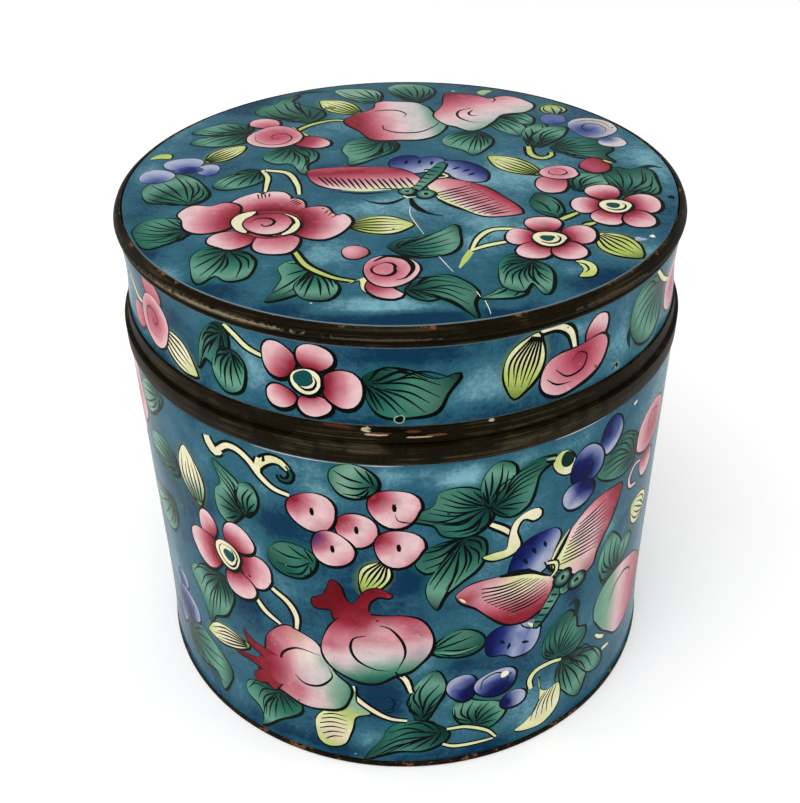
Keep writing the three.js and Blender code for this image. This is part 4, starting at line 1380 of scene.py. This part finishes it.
def paint_pomegranates(p):
    """Two split pomegranates with their crowns."""
    left = lit(wash((-28, 22), (-10, 19), CRIMSON, ROSE, PINK, BLUSH, MILK, SAGE, JADE),
        ((-20, 16.6), 3, ROSE, 0.9), ((-16.4, 15.6), 2, BLUSH, 0.9), ((-18.6, 26.6), 2.6, WHITE, 0.8),
        ((-15, 27), 1.8, MINT, 0.6), ((-23.2, 30), 2.2, PINK, 0.8), ((-18.4, 22), 1.9, MILK, 0.8),
        ((-13, 20.4), 1.6, SAGE, 0.7), ((-20.4, 31.6), 1.3, LIME, 0.4), ((-27, 20.4), 4.4, CRIMSON, 1))
    p.fruit([(-21, 33.6), (-24, 32), (-26.4, 29), (-27, 25), (-29, 21), (-28, 16.6), (-24, 15), (-19, 13.3),
        (-15, 14), (-12, 15.5), (-10.2, 19), (-10.5, 21.5), (-13, 24), (-15, 29), (-17, 32)], left,
        [[(-21.8, 21.4), (-23.6, 23), (-23.2, 26), (-20, 28.6), (-15.6, 28.2)], [(-21, 21), (-19, 19.4),
        (-16, 20), (-13.6, 23), (-14.2, 25.6)]])
    p.inked([(-24.6, 24.4), (-28, 25), (-30, 25.6), (-32, 27.6), (-31, 24.4), (-27.8, 22.4), (-31, 21),
        (-34.6, 19.8), (-30, 19.2), (-28.4, 18.6), (-30.6, 16.4), (-29.6, 14.4), (-27.6, 15.6), (-26, 14.6),
        (-24.6, 16.4), (-23, 18.6), (-22.6, 22)], wash((-32, 20), (-24, 21), WINE, CRIMSON, CRIMSON), 0.26)
    p.lay(ring([(-25.4, 24.2), (-23, 24), (-21.8, 21.4), (-22.4, 18.6), (-24.6, 16.8), (-28, 19.2),
        (-27.8, 22)]), left)
    p.inked([(-12, 38), (-13, 40.6), (-15.8, 40.6), (-16.2, 42.6), (-14.4, 44), (-13.4, 46), (-12.6, 47.8),
        (-11.2, 46.6), (-10.4, 44), (-9, 42.8), (-7.8, 44.6), (-6.4, 46.4), (-4.4, 47), (-2.2, 45.6),
        (-2.8, 44.8), (-4.6, 45.2), (-6.2, 43.6), (-6.4, 41), (-6.8, 38)],
        wash((-12, 46), (-8, 41), WINE, WINE, CRIMSON), 0.3)
    right = lit(wash((-7, 42), (-3.4, 23.5), WINE, CRIMSON, ROSE, PINK, PINK, BLUSH, MILK, MINT, JADE,
        LEAF), ((-13, 32), 2.4, ROSE, 0.8), ((-4, 36.6), 2.4, BLUSH, 0.6),
        ((2.4, 31.4), 3, tint(160, 128, 140), 0.6), ((-7.4, 30), 2.6, MILK, 0.7),
        ((-11, 27.4), 2, BLUSH, 0.7), ((-9, 25.4), 1.6, MINT, 0.5), ((2, 37), 2.2, CRIMSON, 0.5),
        ((-9, 39.6), 3.8, CRIMSON, 1))
    p.fruit([(-11.5, 39), (-14.5, 34), (-15, 30), (-13, 25.5), (-9, 23.2), (-5, 23.2), (-2, 25.5), (1, 27),
        (4, 30.5), (4.5, 35), (3, 38.8), (0, 40.3), (-4, 40.5), (-8, 40.6)], right, [[(-7, 35.2),
        (-9.2, 34.2), (-9.8, 31.4), (-8.6, 28.6), (-5.6, 26.7), (-2.8, 26.5)], [(-4.5, 38), (-2.6, 37.2),
        (-0.6, 34), (-0.2, 30.6), (-1.7, 26.6)]])
    p.lay(ring([(-11.6, 39.6), (-9.6, 42), (-7, 42), (-6, 40.6), (-6.4, 38.6), (-8.6, 37.8), (-11, 38)]),
        right)
    p.line([(-2, 26.4), (-1.4, 25.4), (-0.4, 24.8)], 0.5)


def paint_wall_blues(p):
    """Blue flowers on the wall."""
    p.blue_petal((20.4, 13.9), (2.5, 2.3), (0.9, 0.2))
    p.blue_petal((10.1, 20.6), (2.6, 3.6), (-0.8, 0.5))
    p.blue_petal((16.6, 20), (4, 3.5), (-0.2, 0.9))
    p.line([(13.6, 19), (14.2, 21.6), (16.8, 22.6), (19, 20.8), (18.4, 18.6), (16.4, 18.4)], 0.36)
    p.oval((18.3, 21.6), (0.9, 0.8), WHITE, 0.05)
    p.blue_petal((38, 68.6), (2.8, 3.6), (0.6, -0.6))
    p.blue_petal((32.5, 65), (3.6, 4.1), (0.45, 0.3))
    p.line([(30.4, 64.4), (31.4, 62.8), (33.4, 63.4), (33.4, 65.6), (32, 66)], 0.32)
    p.blue_petal((31, 59.3), (3.4, 2.9), (-0.7, -0.7))
    for x, y, wide, tall in ((-52, 26, 2.4, 2.2), (-57, 13, 2.8, 2), (-51, 20, 4.4, 4)):
        p.blue_petal((x, y), (wide, tall), (0.5, 0.5))
    p.line([(-53, 20), (-51.6, 22.4), (-49, 21.4), (-49.6, 18.6), (-52, 18)], 0.3)


def paint_wall_butterfly(p):
    """The butterfly on the right of the wall."""
    p.inked([(18, 46.4), (18.2, 50), (20, 52.8), (23, 54.2), (26.4, 54), (27.8, 52), (27, 49), (25.6, 46),
        (22, 44.6)], wash((19.4, 52), (25.6, 47), COBALT, COBALT, IRIS, LILAC, HAZE, HAZE), 0.3)
    p.inked([(14.2, 30), (14.6, 33), (17, 34.4), (21, 34), (24.6, 33), (25.2, 29), (23.4, 26), (20, 25.6),
        (18, 27), (15.4, 27.6)], wash((14, 31), (24, 29), COBALT, COBALT, IRIS, LILAC, HAZE, LILAC, HAZE),
        0.3)
    for points in ([(20.6, 49.6), (21.4, 48)], [(22.2, 51.4), (23, 49.8)], [(24.4, 52), (25, 50.4)],
            [(21.2, 47), (22.4, 46)], [(17, 31), (18, 29.8)], [(19, 29.6), (18.6, 28)],
            [(21.4, 28.8), (23, 28)]):
        p.line(points, 0.75)
    wing = lit(glow((28, 46), 16.5, CREAM, CREAM, BLUSH, BLUSH, PINK, ROSE, CRIMSON),
        ((42, 50), 3, CRIMSON, 0.9), ((39.4, 44.6), 2.6, CRIMSON, 0.9), ((35.6, 40), 2.4, WINE, 0.6))
    p.inked([(26.6, 45.2), (28.2, 48.4), (30, 51.5), (33, 54.5), (37, 55.8), (41, 55.5), (43.2, 54.6),
        (42.4, 51), (41, 47.5), (39, 45), (37.5, 42.5), (37, 40), (35, 39), (32.5, 40), (29, 43)], wing,
        0.4)
    p.hatch([(28.4, 44.6), (29.8, 48.6), (32, 52)], [(37, 44), (39.6, 49.4), (38.6, 54)], 11, 0.42)
    p.line([(26.8, 45.6), (28.4, 49), (30.4, 52.4)], 1.2)
    p.line([(26.2, 46), (27.8, 49.4), (29.8, 52.2)], 0.6, CREAM)
    wing = lit(wash((18, 46.6), (17.6, 35), PINK, BLUSH, BLUSH, PINK, ROSE, CRIMSON, CRIMSON),
        ((21, 45), 4, CREAM, 0.95), ((10.6, 43.6), 3.6, ROSE, 0.95), ((9.6, 42.8), 2, CRIMSON, 0.7))
    p.inked([(8.6, 44.4), (11, 46.5), (15, 46.8), (20, 46), (25, 43.5), (27.2, 41.6), (26.5, 38),
        (27, 36.4), (25, 35.5), (22, 34), (19, 34.6), (16.8, 36), (14.5, 38), (12, 41), (9.5, 42.5)], wing,
        0.4)
    p.hatch([(13, 45), (13.4, 42.4), (15.8, 39.8), (18.8, 37.4)], [(21, 44.9), (24.4, 43.2), (25.9, 41.4),
        (26, 38.8)], 11, 0.42, INK, -0.05)
    p.line([(16.2, 47), (20.6, 46.4), (26.4, 43)], 1.5)
    p.line([(19, 46), (22.4, 44.8), (26.2, 42.6)], 0.8, CREAM)
    p.line([(9.2, 43.6), (10.4, 42.4)], 0.6, CREAM)
    p.line([(22.4, 33.2), (24, 31.8), (26, 32.6), (27, 34)], 0.9, CREAM)
    p.line([(20.6, 34.4), (21.6, 32.6), (23.6, 31.4), (25.8, 31.6)], 0.35)
    p.inked([(29.4, 38.6), (27.6, 35.2), (24.4, 31.2), (23.8, 32.4), (25.4, 35.6), (27.4, 39.4)],
        wash((28, 38), (24, 32), JADE, MINT, JADE, JADE), 0.4)
    for k in range(5):
        x, y = 27.8 - 0.8 * k, 37.6 - 1.3 * k
        p.line([(x - 0.9, y + 0.4), (x + 0.9, y - 0.4)], 0.5)
    p.line([(24.8, 47), (26.6, 44), (28.6, 42.4)], 0.7)
    p.oval((30.3, 38), (1.3, 1.3), glow((30.3, 38), 1.4, PINE, JADE, MINT), 0.3)
    p.oval((29.3, 40.9), (1.8, 1.9), glow((29.3, 40.9), 2, MINT, MINT, SAGE, TEAL, PINE), 0.44)
    p.oval((32.9, 38.3), (1.9, 1.8), glow((32.9, 38.3), 2, MINT, MINT, SAGE, TEAL, PINE), 0.44)
    p.oval((29.4, 41), (0.5, 0.6), INK, 0)
    p.oval((32.8, 38.4), (0.6, 0.55), INK, 0)
    p.stem([(25.4, 46.4), (27.4, 45.6), (27.6, 43.6), (26.6, 42.6)], 0.6, CREAM, 0.3)


def paint_wall_right(p):
    """The pink flower and the peach at the right edge of the wall."""
    p.petal([(50, 54.6), (52, 56.2), (55.4, 55), (56, 52), (54, 50.2), (51.4, 51)], (53, 57))
    p.petal([(47.6, 62), (47.8, 58.8), (51, 57), (55, 57), (58, 57.8), (60.4, 61), (58.6, 64.6),
        (54.6, 66.4), (50.4, 66), (48, 64.4)], (55, 61), LIGHT_PETAL)
    p.line([(52.6, 60.4), (51.6, 62.4), (53, 64.4), (56, 63.6), (56.6, 60.6), (54.4, 58.6), (50.8, 59)], 0.34)
    p.fruit([(39.5, 24), (40, 28.6), (42.6, 31.4), (47.6, 31.8), (53, 30.4), (58, 26.6), (62.6, 20),
        (60, 15), (55, 12), (49, 12.4), (45, 16), (42, 19.6)], wash((41, 24), (60, 24), MINT, SAGE, BLUSH,
        PINK, ROSE, CRIMSON), [[(44.6, 24.6), (46.4, 27.6), (50, 28.4), (53.4, 26), (53.4, 22)]])


def paint_wall_far_left(p):
    """The pink flower at the left edge of the wall."""
    p.petal([(-57, 63), (-57.6, 68), (-59, 72), (-64, 73), (-69, 70), (-70, 64), (-66, 60), (-60, 60)],
        (-64, 66), LIGHT_PETAL)
    p.petal([(-60, 60), (-62, 56), (-67, 54.6), (-71, 58), (-70, 62), (-65, 62)], (-64, 64),
        (ROSE, PINK, BLUSH))
    p.line([(-63, 67), (-61, 65), (-62.6, 63), (-66, 63.6), (-66.6, 67)], 0.34)


def paint_band_front(p):
    """Flowers and leaves on the front of the lid's band."""
    p.leaf([(-28, 94), (-31, 93), (-34, 88), (-34.8, 83.6), (-33, 86), (-30.6, 85), (-28.4, 88.5)], 6,
        (PINE, LEAF, JADE, LEAF), base=(-28.6, 92.6))
    p.leaf([(-27.5, 89.5), (-30.8, 87.4), (-31.2, 84), (-29, 81.4), (-26.2, 82.4), (-25.2, 85.4),
        (-25.4, 88)], 7)
    p.leaf([(-6, 88.6), (-5.6, 85.6), (-3.6, 82.8), (0, 81.8), (4.6, 82.6), (6.6, 85.6), (8.4, 88.8),
        (5, 88.2), (1, 90.2), (-3, 90.4)], 11, DARK_LEAF, base=(-5.6, 88))
    p.leaf([(41.6, 92), (41, 87), (43, 83), (47, 82), (51, 84), (52.4, 88), (50.4, 92.4), (46, 93.4)],
        tail=[(42, 88), (40.6, 85.6), (41, 83)], base=(51.4, 91))
    p.stem([(-28, 94), (-26, 92.4), (-24, 90.8), (-20.6, 89.8)], 0.9, CREAM, 0.32)
    p.stem([(21, 93.9), (24, 93.9), (26.6, 92), (28, 88)], 1, IVORY, 0.46)
    p.stem([(-57, 90.5), (-54, 88), (-51.4, 87.8)], 0.8, CREAM, 0.3)
    p.stem([(48, 94), (52, 90.6), (57, 88)], 0.8, CREAM, 0.3)
    p.bud((-44.6, 86.6), (-35, 81.6), 4.6, (SAGE, IVORY, IVORY, LIME), 4)
    p.bud((20.6, 93.8), (17.2, 83), 6.6, RIPE_BUD, 7, -0.03)
    p.flower((-14.6, 87), (2.4, 2.3), ((-18.9, 90.2, 2.8, 3.2), (-18.9, 83.6, 2.5, 1.9),
        (-13.4, 82.9, 2.6, 1.9), (-9, 86.4, 3.2, 3.3), (-13, 91.5, 2.8, 2.5)))
    p.oval((-15, 87.5), (1.5, 1.4), TEAL, 0.1)
    p.petal([(30.4, 88.4), (30, 91), (31.6, 93.2), (33.8, 92.6), (34.2, 90), (32.8, 88)], (30, 86))
    p.petal([(21.8, 83.4), (22.6, 87), (25, 88.6), (29, 88.8), (33.4, 89), (34.9, 87), (33.4, 84),
        (29.4, 81.8), (25, 81.4)], (29, 87), LIGHT_PETAL)
    p.line([(24.4, 85.8), (26.6, 84), (29.6, 84.4), (30.4, 86.6), (28.6, 87.6), (27.4, 86.4)])
    p.line([(22.8, 84.6), (24.6, 83.2), (27.4, 82.8)], 0.35)
    p.petal([(-48.4, 91), (-48.8, 94), (-46, 95), (-43.6, 93), (-44, 90.6), (-46.4, 89.8)], (-47.4, 88),
        SMALL_PETAL)
    p.petal([(-51, 85.4), (-54, 86.8), (-56.2, 85.4), (-55.4, 83), (-52, 82.8)], (-50, 86),
        SMALL_PETAL)
    p.oval((-46.9, 86.8), (4.7, 4.6), glow((-47.4, 87), 5.2, ROSE, ROSE, PINK, BLUSH), 0.32)
    p.line([(-47.6, 86.6), (-46.8, 85.8), (-45.8, 86.8), (-46.4, 88.4), (-48.6, 88.6), (-49.8, 86.6),
        (-48.8, 84.2), (-46, 83.8)], 0.32)
    p.petal([(54.4, 84), (55, 88), (58, 90.4), (62, 90), (64, 86), (61, 82.6), (57, 82.2)], (60, 86),
        LIGHT_PETAL)


def paint_spray(p):
    """A pink flower with leaves, a bud and a blue blossom, about its own middle."""
    p.leaf([(-4, 5), (-9, 5), (-13.5, 8.5), (-15, 13), (-11, 13.6), (-6.5, 11), (-3.6, 8)], base=(-4.4, 5.4))
    p.leaf([(4, 5), (5, 9.6), (9, 12.6), (14, 12.4), (17.5, 15.4), (16, 9), (11.4, 5.6)], 8,
        EDGED_LEAF, base=(4.4, 5.4))
    p.leaf([(5, -4), (10, -3.4), (14, -7), (15.6, -12), (10.4, -12), (6.4, -8.6)], 7, base=(5.4, -4.4))
    p.stem([(-4, -4), (-8, -8), (-9.6, -13)], 0.9, IVORY)
    p.bud((-9.6, -12.6), (-12.4, -21), 4.6)
    p.stem([(1, -5), (2.6, -10), (2, -14)], 0.9, IVORY)
    p.blue_petal((-0.6, -16.4), (2.4, 2.2), (0.4, 0.6))
    p.blue_petal((4.4, -16.6), (2.6, 2.6), (-0.2, 0.8))
    p.blue_petal((1.6, -19.4), (2.6, 2.4), (0.2, 0.8))
    p.flower((0, 0), (2.7, 2.6), ((-4.9, 1.6, 3.3, 3.4), (-3, -4.4, 3.2, 3.2), (3.2, -4.4, 3.3, 3.1),
        (5, 1.6, 3.2, 3.4), (0, 5.2, 3.3, 3.1)))


def paint_bough(p):
    """A peach on a bough with leaves and buds, about its own middle."""
    p.leaf([(6, 6), (10.5, 9.4), (16, 8.6), (18, 5), (15.6, 1.6), (10, 2.6)], base=(6.4, 5.6))
    p.leaf([(-2, 9), (-7, 9.4), (-12, 13), (-13, 17), (-8, 17), (-3.4, 13.4)], base=(-2.4, 9.4))
    p.leaf([(3, -9), (2.6, -13.6), (6, -17.6), (11, -18.6), (12, -14), (8, -10)], 7, base=(3.4, -9.4))
    p.stem([(-14, -12), (-9, -13.4), (-4, -11), (0, -9)], 0.9, IVORY)
    p.bud((-13.6, -12), (-20, -7), 4.4)
    p.stem([(4, 8), (5, 13), (9, 16)])
    p.bud((9, 15.6), (16.6, 18.4), 4.2)
    p.fruit([(-10, -1), (-8.6, 5), (-3, 8.6), (2, 8), (6, 9.4), (10, 5.6), (10, 0), (7, -6), (1, -9),
        (-5, -7.6)], wash((-10, 4), (10, -4), CRIMSON, ROSE, PINK, BLUSH, MILK, MINT, JADE), [[(-4, 3),
        (-1.6, 5.4), (1.4, 4.4), (1.6, 1.6)], [(2, 7.6), (4.6, 3), (3.4, -3), (-1, -6)]])


def paint_wall_back(p):
    """Plainer flowers and fruit on the side that the photograph doesn't show."""
    whole = TURN * WALL_RADIUS
    places = ((88, 55, 1, 0), (90, 22, -1, 1), (126, 50, 1, 1), (128, 20, -1, 0), (160, 56, -1, 0),
        (166, 22, 1, 1), (200, 52, -1, 1), (204, 22, 1, 0), (238, 54, 1, 0), (240, 22, 1, 1))
    for along, up, flip, kind in places:
        for lap in (0, whole):
            p.move(along - lap, up, flip, 0.92)
            (paint_bough if kind else paint_spray)(p)
    p.move(0, 0)


def paint_band_back(p):
    """Flowers and leaves on the back of the lid's band."""
    whole = TURN * BAND_RADIUS
    for count, along in enumerate(range(78, 240, 27)):
        for lap in (0, whole):
            p.move(along - lap, 87.2, 1 if count % 2 else -1, 0.8)
            p.leaf([(5, 1), (8, 5), (13, 5.4), (17.6, 2), (14, -2.4), (8, -2.6)], 8, DARK_LEAF)
            p.bud((-7, -1), (-15, -4.4), 4.4)
            p.flower((0, 0), (2.4, 2.3), ((-4, 2.6, 2.8, 2.8), (-3, -3.6, 2.8, 2.4), (3, -3.6, 2.8, 2.4),
                (4.2, 2.4, 2.8, 2.9), (0, 4.6, 2.8, 2.4)))
    p.move(0, 0)


WALL_PARTS = (paint_wall_leaves, paint_wall_stems, paint_wall_berries, paint_wall_blues, paint_pomegranates,
    paint_wall_flower, paint_wall_butterfly, paint_wall_right, paint_wall_far_left, paint_wall_back,
    paint_wall_marks)
BAND_PARTS = (paint_band_front, paint_band_back, paint_band_marks)
TOP_PARTS = (paint_top_leaves, paint_top_stems, paint_top_fruit, paint_top_roses, paint_top_peony,
    paint_top_butterfly, paint_top_damage)


def round_wall(name, radius, stations, rows, parts, tones, strip):
    """A painted round wall: painted unrolled to a rectangle, its UV chart in two halves, left above."""
    low, high = stations[0][0], stations[-1][0]
    half = math.pi * radius
    sides = np.linspace(-half, half, ROUND_STEPS + 1)
    rises = np.linspace(low, high, rows)
    border = [(s, low) for s in sides] + [(half, z) for z in rises[1:-1]]
    border += [(s, high) for s in sides[::-1]] + [(-half, z) for z in rises[-2:0:-1]]
    inside = half - WALL_MARGIN
    floor, ceiling = low + WALL_MARGIN, high - WALL_MARGIN
    painting = Painting(border, (-inside, floor), (inside, ceiling), parts, tones, split=True)
    grid = [(s, z) for s in sides[1:-1] for z in rises[1:-1]]
    chart_low, start, step, rise = strip

    def chart(flat):
        left = flat[:, :, 0].mean(axis=1, keepdims=True) < 0
        across = flat[:, :, 0] / half + left
        up = (flat[:, :, 1] - chart_low) / (high - chart_low)
        return np.stack([CHART_EDGE + CHART_WIDTH * across, start + step * left + rise * up], 2)

    return sheet_mesh(name, painting, grid, lambda flat: wrapped(flat, radius, stations), chart)


def lid_top():
    """The painted top of the lid."""
    turns = -math.pi + TURN * np.arange(ROUND_STEPS) / ROUND_STEPS
    border = [(PLATE_RADIUS * math.sin(t), -PLATE_RADIUS * math.cos(t)) for t in turns]
    limit = PLATE_RADIUS + 1
    painting = Painting(border, (-limit, -limit), (limit, limit), TOP_PARTS, TOP_TONES,
        reach=PLATE_RADIUS - TOP_MARGIN)
    spots = np.arange(-46, 47, 2.0)
    grid = [(x, y) for x in spots for y in spots if math.hypot(x, y) < PLATE_RADIUS - 1.2]
    return sheet_mesh("lid_top", painting, grid, domed,
        lambda flat: CHART_EDGE + CHART_TOP_WIDTH * (flat / PLATE_RADIUS * 0.5 + 0.5))


# Operators


class AddFittings(bpy.types.Operator):
    """Adds the foot ring, the mouth band, the lid's moulding and its strap"""

    bl_idname = "enamel_jar.add_fittings"
    bl_label = "Add Metal Fittings"

    def execute(self, context):
        steps = context.scene.jar_metal.steps
        chips = [(on_strap(along, height), (wide, max(wide, 1.0), tall), colour)
            for along, height, wide, tall, colour in STRAP_CHIPS]
        foot = shown(profile_ring("foot_edge", FOOT_PROFILE, steps))
        finish_piece(foot, "foot_ring", bronze_material("foot_bronze", (-2, 0.6, 0.45), 0.2))
        mouth = shown(profile_ring("mouth_strap", MOUTH_PROFILE, steps, METAL_CORNER))
        finish_piece(mouth, "mouth_band", bronze_material("mouth_bronze", (70, 90, 0), 0.45))
        moulding = shown(profile_ring("lid_moulding", MOULDING_PROFILE, steps))
        # The moulding's ridge gets painted highlights at its front.
        finish_piece(moulding, "lid_top_moulding",
            bronze_material("moulding_bronze", (96.7, 97.4, 0.5), 0.35, MOULDING_PAINTED_HIGHLIGHTS, 1.2))
        strap = shown(profile_ring("lid_strap", LID_STRAP_PROFILE, steps, METAL_CORNER))
        finish_piece(strap, "lid_lower_band",
            bronze_material("strap_bronze", (79, 81, 0.1), 0.4, chips))
        return {"FINISHED"}


class AddBody(bpy.types.Operator):
    """Adds the painted, hollow body of the jar"""

    bl_idname = "enamel_jar.add_body"
    bl_label = "Add Painted Body"

    def execute(self, context):
        (low, low_radius), (high, high_radius) = WALL_STATIONS[0], WALL_STATIONS[-1]
        sheet = round_wall("jar_wall", WALL_RADIUS, WALL_STATIONS, 32, WALL_PARTS, WALL_TONES,
            (0, 0.005, 0.455, 0.44))
        corner = FLOOR_FILLET * FILLET_MIDDLE_SHARE
        inside = (
            (high_radius, high), (REBATE_RADIUS, high), (REBATE_RADIUS, WALL_TOP),
            (WALL_INNER_RADIUS, WALL_TOP), (WALL_INNER_RADIUS, FLOOR_TOP + FLOOR_FILLET),
            (WALL_INNER_RADIUS - corner, FLOOR_TOP + corner),
            (WALL_INNER_RADIUS - FLOOR_FILLET, FLOOR_TOP), (0, FLOOR_TOP),
        )
        inner = plain_mesh("jar_inside", inside, (0.91, 0.95))
        under = plain_mesh("jar_under", ((low_radius, low), (0, low)), (0.955, 0.995))
        piece = joined("painted_body", [sheet, inner, under])
        finish_piece(piece, "jar_body", fired_enamel())
        return {"FINISHED"}


class AddLid(bpy.types.Operator):
    """Adds the painted, hollow lid"""

    bl_idname = "enamel_jar.add_lid"
    bl_label = "Add Painted Lid"

    def execute(self, context):
        (low, low_radius), (high, high_radius) = BAND_STATIONS[0], BAND_STATIONS[-1]
        band = round_wall("lid_band", BAND_RADIUS, BAND_STATIONS, 8, BAND_PARTS, BAND_TONES,
            (low, 0.725, 0.095, 0.085))
        edge = ((PLATE_RADIUS, PLATE_EDGE), (PLATE_RADIUS, high), (high_radius, high))
        rim = plain_mesh("lid_rim", edge, (0.915, 0.93))
        inside = (
            (low_radius, low), (LID_BACK_RADIUS, low), (LID_BACK_RADIUS, LID_BOTTOM),
            (LID_INNER_RADIUS, LID_BOTTOM), (LID_INNER_RADIUS, PLATE_EDGE - SHEET - PLATE_CORNER),
            (PLATE_FLAT_RADIUS, PLATE_UNDERSIDE), (0, PLATE_UNDERSIDE),
        )
        inner = plain_mesh("lid_inside", inside, (0.935, 0.995))
        piece = joined("painted_lid", [lid_top(), band, rim, inner])
        finish_piece(piece, "lid", fired_enamel())
        return {"FINISHED"}


class SetStage(bpy.types.Operator):
    """Sets the plain floor, the soft lights and the camera"""

    bl_idname = "enamel_jar.set_stage"
    bl_label = "Set Stage"

    def execute(self, context):
        studio = context.scene.jar_studio
        work = bmesh.new()
        bmesh.ops.create_grid(work, x_segments=4, y_segments=4, size=4.0)
        mesh = bpy.data.meshes.new("studio_floor")
        work.to_mesh(mesh)
        work.free()
        floor = shown(mesh)
        material, tree = new_material("studio_floor")
        give(tree, tree.nodes["Principled BSDF"], {
            "Base Color": opaque(studio.floor), "Roughness": 0.9, "Specular IOR Level": 0.1,
            "Emission Color": opaque(studio.floor), "Emission Strength": FLOOR_GLOW,
        })
        floor.data.materials.append(material)
        self.light("key_light", (-0.25, -0.55, 0.9), 0.9, studio.key_power)
        self.light("left_light", (-0.9, 0.1, 0.5), 0.7, studio.side_power)
        self.light("right_light", (0.9, -0.1, 0.5), 0.7, studio.side_power)
        world = bpy.data.worlds.new("studio_room")
        world.use_nodes = True
        room = world.node_tree.nodes["Background"]
        room.inputs["Color"].default_value = (1, 1, 1, 1)
        room.inputs["Strength"].default_value = studio.room_light
        context.scene.world = world
        context.scene.view_settings.view_transform = "Standard"
        self.camera(context.scene, studio.lens)
        return {"FINISHED"}

    def light(self, name, place, size, power):
        """One square soft light aimed at the jar's middle."""
        data = bpy.data.lights.new(name, "AREA")
        data.shape = "SQUARE"
        data.size = size
        data.energy = power
        lamp = bpy.data.objects.new(name, data)
        lamp.location = place
        lamp.rotation_euler = (Vector((0, 0, 0.05)) - Vector(place)).to_track_quat("-Z", "Y").to_euler()
        bpy.context.scene.collection.objects.link(lamp)

    def camera(self, scene, lens):
        """The photograph's camera, from its measured place, pitch, roll and yaw."""
        pitch, roll, yaw = CAMERA_PITCH, CAMERA_ROLL, CAMERA_YAW
        ahead = Vector((math.sin(yaw) * math.cos(pitch), math.cos(yaw) * math.cos(pitch), -math.sin(pitch)))
        level = Vector((math.cos(yaw), -math.sin(yaw), 0))
        rise = level.cross(ahead)
        right = math.cos(roll) * level + math.sin(roll) * rise
        up = -math.sin(roll) * level + math.cos(roll) * rise
        data = bpy.data.cameras.new("photo_camera")
        data.sensor_fit = "VERTICAL"
        data.sensor_height = SENSOR_HEIGHT
        data.lens = lens
        camera = bpy.data.objects.new("photo_camera", data)
        turned = Matrix((right, up, -ahead)).transposed().to_4x4()
        camera.matrix_world = Matrix.Translation([v * MM for v in CAMERA_PLACE]) @ turned
        scene.collection.objects.link(camera)
        scene.camera = camera


class EnamelJarPanel(bpy.types.Panel):
    """Lists the jar's pieces and its settings"""

    bl_idname = "VIEW3D_PT_enamel_jar"
    bl_label = "Enamel Jar"
    bl_space_type = "VIEW_3D"
    bl_region_type = "UI"
    bl_category = "Enamel Jar"

    def draw(self, context):
        column = self.layout.column()
        for operator in (AddFittings, AddBody, AddLid, SetStage):
            column.operator(operator.bl_idname)
        for settings in (context.scene.jar_enamel, context.scene.jar_metal, context.scene.jar_studio):
            box = column.box()
            for key in settings.__annotations__:
                box.prop(settings, key)


CLASSES = (EnamelSettings, MetalSettings, StudioSettings, AddFittings, AddBody, AddLid, SetStage,
    EnamelJarPanel)


def register():
    """Registers the classes and puts the settings on the scene."""
    for made in CLASSES:
        bpy.utils.register_class(made)
    bpy.types.Scene.jar_enamel = bpy.props.PointerProperty(type=EnamelSettings)
    bpy.types.Scene.jar_metal = bpy.props.PointerProperty(type=MetalSettings)
    bpy.types.Scene.jar_studio = bpy.props.PointerProperty(type=StudioSettings)


def unregister():
    """Takes the settings and the classes away again."""
    del bpy.types.Scene.jar_studio
    del bpy.types.Scene.jar_metal
    del bpy.types.Scene.jar_enamel
    for made in reversed(CLASSES):
        bpy.utils.unregister_class(made)


def main():
    """Builds the jar and the stage."""
    register()
    chip_and_highlight_group()
    bronze_group()
    bpy.ops.enamel_jar.add_fittings()
    bpy.ops.enamel_jar.add_body()
    bpy.ops.enamel_jar.add_lid()
    bpy.ops.enamel_jar.set_stage()


if __name__ == "__main__":
    main()
